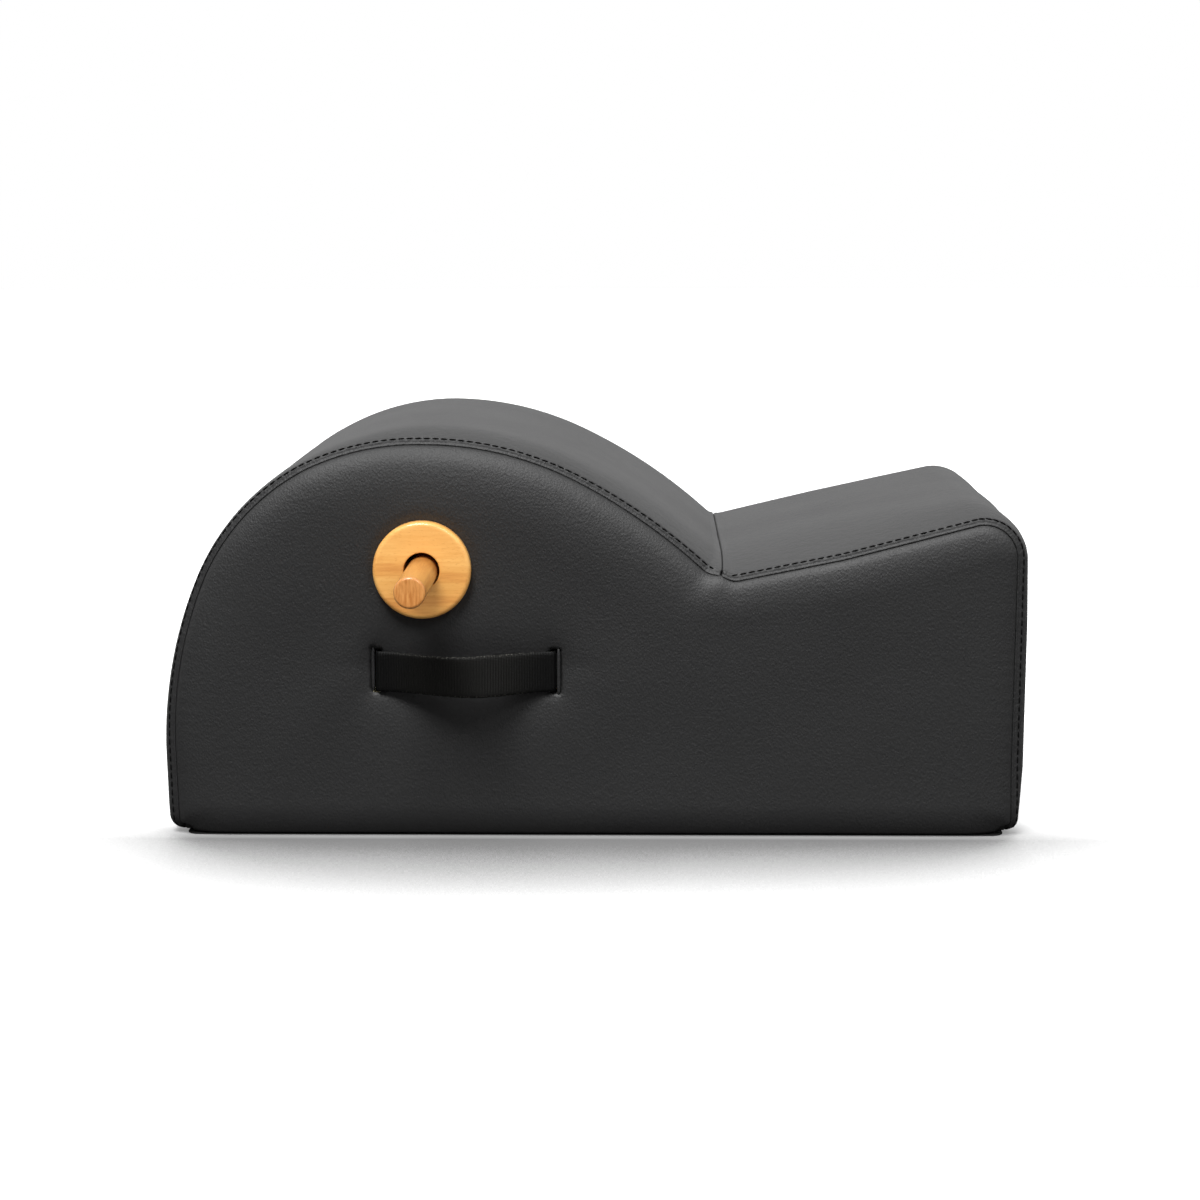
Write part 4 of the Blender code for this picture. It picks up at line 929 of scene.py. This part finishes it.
def bandSurface(s, away, side, tucked, creaseAt, seed=5):
    # Outline - normal * (inset - rise); stand-out = seam plane - setback; relief along the section's normal
    point, normal = (values[:, None] for values in sampleEdge(s))
    inset, depth = edgeValue(s, "inset")[:, None], crownDepth(s, 0 * s)[:, None]
    rise = bandRise(away[None], s[:, None], side)
    flatBack = profileBack[-1] + away - profileAway[-1]
    back = np.where(away > profileAway[-1], flatBack, np.interp(away, profileAway, profileBack))
    before, after = (bandRise(away[None] + step, s[:, None], side) for step in (-1e-5, 1e-5))
    slopeUp = (after - before) / 2e-5
    slopeBack = np.interp(away, profileAway, np.gradient(profileBack, profileAway))[None]
    length = np.hypot(slopeUp, slopeBack)
    up, out = slopeBack / length, slopeUp / length
    # The flat's share of the way in is kept, so that every station's flat ends meet in the middle
    half = body["depth"] / 2 - profileBack[-1]
    flatShare = np.clip((back - profileBack[-1]) / (half - fullDepth[0]), 0, 1)[None]
    stand = (half - depth) * (1 - flatShare) + (profileBack[-1] - np.minimum(back, profileBack[-1]))[None]
    ripple = 0.7 + 0.3 * np.cos(2 * math.pi * s[:, None] / stitch["pitch"])
    fromStitch = (away - band["stitchAway"]) / band["grooveWidth"]
    relief = -band["grooveDepth"] * ripple * np.exp(-(fromStitch**2))
    wave = softNoise(s[:, None], side * stand, band["waveSize"], seed)
    relief = relief + band["wave"] * wave * smoothStep(away, 0.008, 0.05)
    relief = relief - rollIn(away, band["roll"])
    fromCrease = np.abs(s - creaseAt)[:, None]
    sunk = rollIn(fromCrease, band["creaseRoll"]) + band["creaseTuck"] * (fromCrease < 1e-6)
    relief = relief - sunk
    place = point - normal * (inset - rise)[..., None] + normal * (relief * up)[..., None]
    foot = curlDepth(point[..., 1]) * (1 - smoothStep(away, 0.010, 0.045))
    stand = stand + relief * out - foot - tucked[None]
    return np.stack([place[..., 0], side[None] * stand, place[..., 1]], axis=-1)


def buildBand():
    marks = edge["marks"]
    section = bandSection()
    crease = marks["crease"]
    for name, start, stop, node in (("barrel", 0.0, crease, "hump"), ("seat", crease, marks["end"], "seat")):
        spots = [(share, 0.0, band["edgeStep"], band["edgeReach"]) for share in (0, 1)]
        steps = start + (stop - start) * gradedSteps(stop - start, band["coarse"], spots)
        surface = bandSurface(steps, *section, crease)
        rows, columns = surface.shape[:2]
        mesh = makeMesh(name + "_leather", surface, gridFaces(rows, columns))
        piece = addPiece(name + "_leather", mesh, materials["bandLeather"], [node + "_cover"])
        thicken(piece, band["thickness"])
        print(name, "band", rows, "x", columns)


buildBand()


def capsule(length, radius, dip, rise, rings, sides):
    # One stitch along X: a tube whose middle rises and whose tapered ends dip into the leather
    place = np.linspace(-1, 1, rings)[:, None]
    turn = np.linspace(0, 2 * math.pi, sides, endpoint=False)[None]
    girth = radius * np.sqrt(np.clip(1 - (0.94 * place) ** 4, 0, 1))
    height = rise - dip * place**4
    x = place * length / 2 + 0 * turn
    points = np.stack([x, girth * np.cos(turn), height + girth * np.sin(turn)], axis=-1)
    return points.reshape(-1, 3), gridFaces(rings, sides, closeColumns=True), tubeEnds(rings, sides)


def repeatAlong(template, origins, axes):
    # A copy of the template at each origin, in each frame of three axes
    points, quads, triangles = template
    placed = origins[:, None] + np.einsum("pk,nkc->npc", points, axes)
    shift = (np.arange(len(origins)) * len(points))[:, None, None]
    faceSets = ((faces[None] + shift).reshape(-1, faces.shape[1]) for faces in (quads, triangles))
    return placed.reshape(-1, 3), *faceSets


def seamFrames(s, side, away, across):
    # Origins on the band at a distance from the seam, with axes along it, across it and out of the leather
    marks = edge["marks"]
    here, further = (
        bandSurface(s, np.array([value]), np.array([side]), np.zeros(1), marks["crease"])[:, 0]
        for value in (away, away + 0.0004)
    )
    _, normal = sampleEdge(s)
    forward = np.stack([normal[:, 1], 0 * s, -normal[:, 0]], axis=1)
    over = (further - here) / np.linalg.norm(further - here, axis=1, keepdims=True)
    out = np.cross(forward, over) * -side
    first = over if across else forward
    return here, np.stack([first, np.cross(out, first), out], axis=1)


def buildStitches():
    marks = edge["marks"]
    plans = (
        ("topstitching", stitch["shape"], stitch["pitch"], band["stitchAway"], False, "thread", 0.0),
        (
            "seam_stitching", stitch["seamShape"], stitch["seamPitch"], stitch["seamAway"], True,
            "seamThread", stitch["seamSunk"],
        ),
    )
    for title, shape, pitch, away, across, thread, sunk in plans:
        template = capsule(**shape)
        s = np.arange(0.5, (marks["end"] - 0.004) / pitch) * pitch
        s = s[(np.abs(s - marks["crease"]) > 0.006) & (s > 0.004)]
        for name, side in (("front", -1.0), ("rear", 1.0)):
            origins, axes = seamFrames(s, side, away, across)
            origins[:, 1] -= side * sunk
            mesh = makeMesh(name + "_" + title, *repeatAlong(template, origins, axes))
            addPiece(name + "_" + title, mesh, materials[thread], [])
        print(title, len(s), "a side")


buildStitches()


def arcPoints(centre, radius, start, stop, count):
    return np.array(centre) + radius * direction(np.linspace(start, stop, count))


def turnedMesh(name, profile, centreX, centreZ, sides, closed):
    # The profile of radius and Y carried round the bore's axis; a solid rod is closed by a fan at each end
    turn = np.linspace(0, 2 * math.pi, sides, endpoint=False)[None]
    radius, along = profile[:, 0, None], profile[:, 1, None]
    x, z = centreX + radius * np.cos(turn), centreZ + radius * np.sin(turn)
    points = np.stack([x, along + 0 * turn, z], axis=-1)
    quads = gridFaces(len(profile), sides, closeRows=closed, closeColumns=True)
    caps = [] if closed else [tubeEnds(len(profile), sides, flip=True)]
    return makeMesh(name, points, quads, *caps)


def faceOutwards(mesh):
    # Face normals recalculated outwards
    work = bmesh.new()
    work.from_mesh(mesh)
    bmesh.ops.recalc_face_normals(work, faces=work.faces)
    work.to_mesh(mesh)
    work.free()


dowel = {"radius": 0.015, "length": 0.730, "rounding": 0.0028, "drop": 0.0022, "sides": 96}


def buildHandle():
    # Ring bushes with a rounded rim and an eased bore, and the rod that slides in them
    face, back = body["depth"] / 2 + ring["proud"], body["depth"] / 2 - 0.0012
    rim, eased = ring["radius"] - ring["rounding"], ring["bore"] + ring["chamfer"]
    profile = np.concatenate([
        [(ring["bore"], ring["inner"])],
        arcPoints((eased, face - ring["chamfer"]), ring["chamfer"], 180, 90, 5),
        np.stack([np.linspace(eased + 0.002, rim - 0.001, 6), np.full(6, face)], axis=1),
        arcPoints((rim, face - ring["rounding"]), ring["rounding"], 90, 0, 11),
        [(ring["radius"], back + 0.001), (ring["radius"] - 0.001, back)],
        [(ring["spigot"], back), (ring["spigot"], ring["inner"])],
    ])
    for name, side in (("front", -1), ("rear", 1)):
        mesh = turnedMesh(name + "_ring", profile * (1, side), ring["x"], ring["z"], 128, True)
        faceOutwards(mesh)
        mesh.set_sharp_from_angle(angle=math.radians(40))
        addPiece(name + "_ring", mesh, materials["ring"], [name + "_ring_bush"])
    half, corner = dowel["length"] / 2, dowel["radius"] - dowel["rounding"]
    nose = arcPoints((corner, half - dowel["rounding"]), dowel["rounding"], 90, 0, 9)
    tip = np.stack([np.linspace(0.001, corner - 0.001, 5), np.full(5, half)], axis=1)
    end = np.concatenate([tip, nose])
    shaft = np.stack([np.full(9, dowel["radius"]), np.linspace(0.34, -0.34, 9)], axis=1)
    profile = np.concatenate([end, shaft, end[::-1] * (1, -1)])
    mesh = turnedMesh("dowel_rod", profile, ring["x"], ring["z"] - dowel["drop"], dowel["sides"], False)
    faceOutwards(mesh)
    addPiece("dowel_rod", mesh, materials["dowel"], ["dowel_handle"], "dowel")
    print("rings and dowel")


buildHandle()


def strapLine():
    # Plan of one strap's middle line: tail inside, out through the slit, then a curve to the middle of its
    # bow, which is a mix of half a cosine wave and a parabola
    left, leave = strap["x"] - strap["halfSpan"], body["depth"] / 2 + strap["standOff"]
    tail = strap["tailFace"] - strap["tailGap"]
    bow = np.array([strap["x"], body["depth"] / 2 + strap["bow"]])
    inner = arcPoints((left - strap["tailBend"], tail + strap["tailBend"]), strap["tailBend"], -90, 0, 12)
    outer = arcPoints((left + strap["bend"], leave), strap["bend"], 180, 90 + strap["slant"], 10)
    start = outer[-1]
    part = np.linspace(0, 1, 80)[1:]
    rise = strap["sway"] * (1 - np.cos(math.pi * part)) / 2 + (1 - strap["sway"]) * (2 * part - part**2)
    curve = start + (bow - start) * np.stack([part, rise], axis=1)
    half = np.concatenate([[(left - strap["tail"], tail)], inner, outer, curve])
    return np.concatenate([half, half[-2::-1] * (-1, 1) + (2 * strap["x"], 0)])


def buildStraps():
    # A flat loop of points carried along the middle line; cross ribs stand out of both faces
    line = strapLine()
    lengths = np.concatenate([[0], np.cumsum(np.linalg.norm(np.diff(line, axis=0), axis=1))])
    s = np.arange(0, lengths[-1], strap["ribPitch"] / strap["ribSteps"])
    path = np.stack([np.interp(s, lengths, line[:, k]) for k in (0, 1)], axis=1)
    along = np.gradient(path, axis=0)
    along /= np.linalg.norm(along, axis=1, keepdims=True)
    normal = np.stack([-along[:, 1], along[:, 0]], axis=1)
    width = np.linspace(-1, 1, strap["across"])
    wide = strap["width"] / 2 * np.concatenate([width, width[::-1]])
    faceSide = np.repeat([1.0, -1.0], strap["across"])
    power, least = strap["edgeThin"]
    edgeThin = np.sqrt(np.clip(1 - (np.abs(wide) / (strap["width"] / 2)) ** power, least, 1))
    ribs = 0.5 + 0.5 * np.cos(2 * math.pi * s / strap["ribPitch"])
    half = strap["thickness"] / 2 - strap["ribHeight"] * (1 - ribs)[:, None] * (edgeThin > 0.6)
    offset = faceSide * half * edgeThin
    x = path[:, :1] + normal[:, :1] * offset
    y = path[:, 1:] + normal[:, 1:] * offset
    z = strap["z"] + wide[None] + 0 * x
    # A slack strap leans a little, by the sum of two bell curves, degrees * e^(-((u - middle) / reach)^2);
    # its upper edge stands back where the lean is above zero
    u = (path[:, 0] - strap["x"]) / strap["halfSpan"]
    lean = sum(degrees * np.exp(-(((u - middle) / reach) ** 2)) for middle, reach, degrees in strap["lean"])
    y = y - wide[None] * np.tan(np.radians(lean))[:, None]
    uv = np.stack([s[:, None] + 0 * x, wide[None] + 0 * x], axis=-1)
    rows, columns = x.shape
    quads = gridFaces(rows, columns, closeColumns=True)
    ends = tubeEnds(rows, columns, flip=True)
    for name, side in (("front", -1), ("rear", 1)):
        points = np.stack([x, side * y, z], axis=-1)
        mesh = makeMesh(name + "_webbing", points, quads, ends, uv=uv)
        faceOutwards(mesh)
        addPiece(name + "_webbing", mesh, materials["webbing"], [name + "_strap"])
    print("straps", rows, "x", columns)


buildStraps()


def buildWelts():
    # Slit bindings: two rolled lips to each slit, the outer one longer than the strap is wide
    # A rod of rounded ends: radius * (1 - v^6)^(1/2) along Z, pressed flatter towards the panel
    rows, sides = welt["rows"], welt["sides"]
    v = np.sin(np.linspace(-1, 1, rows) * math.pi / 2)[:, None]
    turn = np.linspace(0, 2 * math.pi, sides, endpoint=False)[None]
    girth = welt["radius"] * np.sqrt(np.clip(1 - np.abs(v) ** 6, 0.02, 1))
    quads = gridFaces(rows, sides, closeColumns=True)
    ends = tubeEnds(rows, sides, flip=True)
    for name, side in (("front", -1), ("rear", 1)):
        for end, slitSide in (("left", -1), ("right", 1)):
            middle = strap["x"] + slitSide * strap["halfSpan"]
            beside = np.array([middle + welt["depthAt"]])
            depth = panelDepth(beside, np.array([strap["z"]]), sidePanel["seeds"]["front"])[0] + welt["sunk"]
            rolls = []
            for lip in (-1, 1):
                x = middle + lip * welt["fromSlit"] + girth * np.cos(turn)
                y = side * (body["depth"] / 2 - depth + welt["flat"] * girth * np.sin(turn))
                outer = lip == slitSide
                lift = welt["lift"][slitSide] if outer else 0.0
                half = welt["halfLength"] if outer else welt["innerHalf"]
                z = strap["z"] + lift + v * half + 0 * turn
                rolls.append(np.stack([x, y, z], axis=-1).reshape(-1, 3))
            points = np.concatenate(rolls)
            count = len(rolls[0])
            title = name + "_" + end + "_slit_"
            mesh = makeMesh(title + "binding", points, quads, quads + count, ends, ends + count)
            faceOutwards(mesh)
            addPiece(mesh.name, mesh, materials["leather"], [title + "lip"])
    print("slit bindings")


buildWelts()

foam = {"flatMargin": 0.0042, "edgeMargin": 0.0026, "panelMargin": 0.0030}


def cutFoam():
    # Die-cut polyurethane foam: pale cream open cells
    plain = {"Specular IOR Level": 0.2}
    material, add, sockets, place = startMaterial("Polyurethane foam, die-cut", "d9d2b4", 0.95, plain)
    # Cells are about 0.6 mm; drawn at 1.6 mm
    cells = add("TexVoronoi", {"Vector": place, "Scale": 620.0})
    add("Bump", {"Height": cells, "Strength": 0.7, "Distance": 0.0007}, into=sockets["Normal"])
    tones = [(0.1, "b9b08e"), (0.6, "e0dabf")]
    add("ValToRGB", {0: cells}, stops=tones, into=sockets["Base Color"])
    return material


def buildFoam():
    # Each block keeps its own form and stays a margin under the leather that is stretched over it
    material = cutFoam()
    for name in ("hump", "seat", "end", "front_side", "rear_side"):
        work = bmesh.new()
        work.from_mesh(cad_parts[name + "_foam"].data)
        bmesh.ops.remove_doubles(work, verts=work.verts, dist=1e-5)
        bmesh.ops.recalc_face_normals(work, faces=work.faces)
        points = np.array([vert.co for vert in work.verts])
        gap, s = nearestOnEdge(points[:, [0, 2]])
        point, normal = sampleEdge(s)
        inset, depth = edgeValue(s, "inset"), crownDepth(s, 0 * s)
        y = np.abs(points[:, 1])
        if "side" in name:
            room = inset + foam["edgeMargin"]
        else:
            away = np.interp(body["depth"] / 2 - depth - y, profileBack, profileAway)
            room = inset - bandRise(away, s, np.sign(points[:, 1])) + foam["flatMargin"]
        inwards = np.clip(room - gap, 0, None)[:, None] * normal
        points[:, [0, 2]] -= inwards
        if "side" in name:
            depth = panelDepth(points[:, 0], points[:, 2], sidePanel["seeds"]["front"])
            face = body["depth"] / 2 - depth - foam["panelMargin"]
            points[:, 1] = np.sign(points[:, 1]) * np.minimum(y, face)
        mesh = bpy.data.meshes.new(name + "_foam_block")
        work.to_mesh(mesh)
        work.free()
        mesh.vertices.foreach_set("co", points.astype(np.float32).ravel())
        mesh.materials.clear()
        mesh.update()
        mesh.set_sharp_from_angle(angle=math.radians(35))
        piece = addPiece(name + "_foam_block", mesh, material, [name + "_foam"])
    print("foam blocks")


buildFoam()

cloth = {"size": (0.815, 0.425), "corner": 0.012, "low": 0.0005, "thickness": 0.0011, "turn": 9}


def buildCloth():
    # Spunbonded polypropylene, point-bonded and stapled over the base: matt black with fine dimples
    material, add, sockets, place = startMaterial("Spunbonded polypropylene, black", "101011", 0.9)
    # Bond points are 1.2 mm apart; drawn 2 mm apart
    points = add("TexVoronoi", {"Vector": place, "Scale": 500.0, "Randomness": 0.1})
    add("Bump", {"Height": points, "Strength": 0.5, "Distance": 0.0003}, into=sockets["Normal"])
    half = np.array(cloth["size"]) / 2 - cloth["corner"]
    signs = ((1, 1), (-1, 1), (-1, -1), (1, -1))
    corner, turn = cloth["corner"], cloth["turn"]
    rim = [arcPoints(half * sign, corner, 90 * k, 90 * k + 90, turn) for k, sign in enumerate(signs)]
    rim = np.concatenate(rim)
    count = len(rim)
    levels = cloth["low"], cloth["low"] + cloth["thickness"]
    layers = np.stack([np.column_stack([rim, np.full(count, z)]) for z in levels])
    quads = gridFaces(2, count, closeColumns=True)
    mesh = makeMesh("bottom_cloth_sheet", layers, quads, tubeEnds(2, count), smooth=False)
    piece = addPiece("bottom_cloth_sheet", mesh, material, ["bottom_cloth"])
    faceOutwards(mesh)
    print("bottom cloth")


buildCloth()


def plywood(name, light, dark, layers=None):
    # Rotary-cut birch veneer, glued crosswise: wide soft figure on the faces, thin brown lines at the edges
    material, add, sockets, place = startMaterial(name, light, 0.62)
    long = add("Mapping", {"Vector": place, "Scale": (0.12, 1.0, 1.0)})
    figure = add("TexNoise", {"Vector": long, "Scale": 90.0, "Detail": 4.0, "Distortion": 1.2})
    base = sockets["Base Color"]
    tone = add("ValToRGB", {0: figure}, stops=[(0.3, dark), (0.7, light)], into=base)
    if layers:
        # Veneers are 1.4 mm thick: every second one shows its darker end grain
        across = add("SeparateXYZ", {0: place}).outputs[layers]
        wave = add("Math", {0: across, 1: 2 * math.pi / 0.0028}, operation="MULTIPLY")
        wave = add("Math", {0: wave}, operation="SINE")
        share = add("MapRange", {0: wave, 1: -0.2, 2: 0.2, 3: 0.0, 4: 0.5})
        add("Mix", {0: share, 6: tone, 7: hexColor(dark)}, data_type="RGBA", into=base)
    return material


def planedPine():
    # Planed softwood: straw early wood between brown late-wood lines that follow the rail's length
    material, add, sockets, place = startMaterial("Softwood rail, planed", "d8b27a", 0.6)
    long = add("Mapping", {"Vector": place, "Scale": (1.0, 0.08, 1.0)})
    drift = add("TexNoise", {"Vector": long, "Scale": 30.0, "Detail": 2.0})
    rings = add("Math", {0: drift, 1: 60.0}, operation="MULTIPLY")
    rings = add("Math", {0: rings}, operation="SINE")
    tones = [(0.2, "dcb882"), (0.95, "b07f45")]
    add("ValToRGB", {0: rings}, stops=tones, into=sockets["Base Color"])
    return material


def woundCard():
    # Spiral-wound grey-brown card: a butt line every 50 mm round the tube, with short dark fibres
    material, add, sockets, place = startMaterial("Card tube, spiral wound", "9a7f60", 0.85)
    axes = add("SeparateXYZ", {0: place})
    x = add("Math", {0: axes.outputs["X"], 1: ring["x"]}, operation="SUBTRACT")
    z = add("Math", {0: axes.outputs["Z"], 1: ring["z"]}, operation="SUBTRACT")
    turn = add("Math", {0: z, 1: x}, operation="ARCTAN2")
    wound = add("Math", {0: axes.outputs["Y"], 1: 2 * math.pi / 0.050, 2: turn}, operation="MULTIPLY_ADD")
    wave = add("Math", {0: wound}, operation="SINE")
    line = add("MapRange", {0: wave, 1: 0.985, 2: 1.0})
    fibre = add("TexNoise", {"Vector": place, "Scale": 400.0, "Detail": 3.0})
    tone = add("ValToRGB", {0: fibre}, stops=[(0.3, "8a7052"), (0.7, "a88d6c")])
    dark = hexColor("4f3f2e")
    add("Mix", {0: line, 6: tone, 7: dark}, data_type="RGBA", into=sockets["Base Color"])
    return material


def zincSteel():
    # Pressed steel with bright zinc plating: pale, with a cloudy half-gloss
    metal = {"Metallic": 1.0}
    material, add, sockets, place = startMaterial("Pressed steel, zinc plated", "c9c9c4", 0.36, metal)
    cloud = add("TexNoise", {"Vector": place, "Scale": 300.0, "Detail": 3.0})
    add("MapRange", {0: cloud, 1: 0.3, 2: 0.7, 3: 0.30, 4: 0.45}, into=sockets["Roughness"])
    return material


def dressFrame():
    bent = plywood("Birch plywood, bent and glued", "d9bd8c", "c09a63")
    upright = plywood("Birch plywood, routed profile", "dcc293", "bd9660", "Y")
    level = plywood("Birch plywood, sawn base", "dcc293", "bd9660", "Z")
    pine, card, steel = planedPine(), woundCard(), zincSteel()
    dressed = {
        "hump_deck": bent, "seat_deck": bent, "end_board": bent,
        "front_profile_board": upright, "rear_profile_board": upright, "base_board": level,
        "left_rail": pine, "crest_rail": pine, "valley_rail": pine, "end_rail": pine,
        "guide_tube": card,
    }
    for side in ("front", "rear"):
        for end in ("left", "right"):
            for title in ("strap_plate", "lower_screw", "upper_screw"):
                dressed[side + "_" + end + "_" + title] = steel
    for name, material in dressed.items():
        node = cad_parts[name]
        for slot in node.material_slots:
            slot.link = "OBJECT"
            slot.material = material
    print("frame materials", len(dressed), "nodes")


dressFrame()
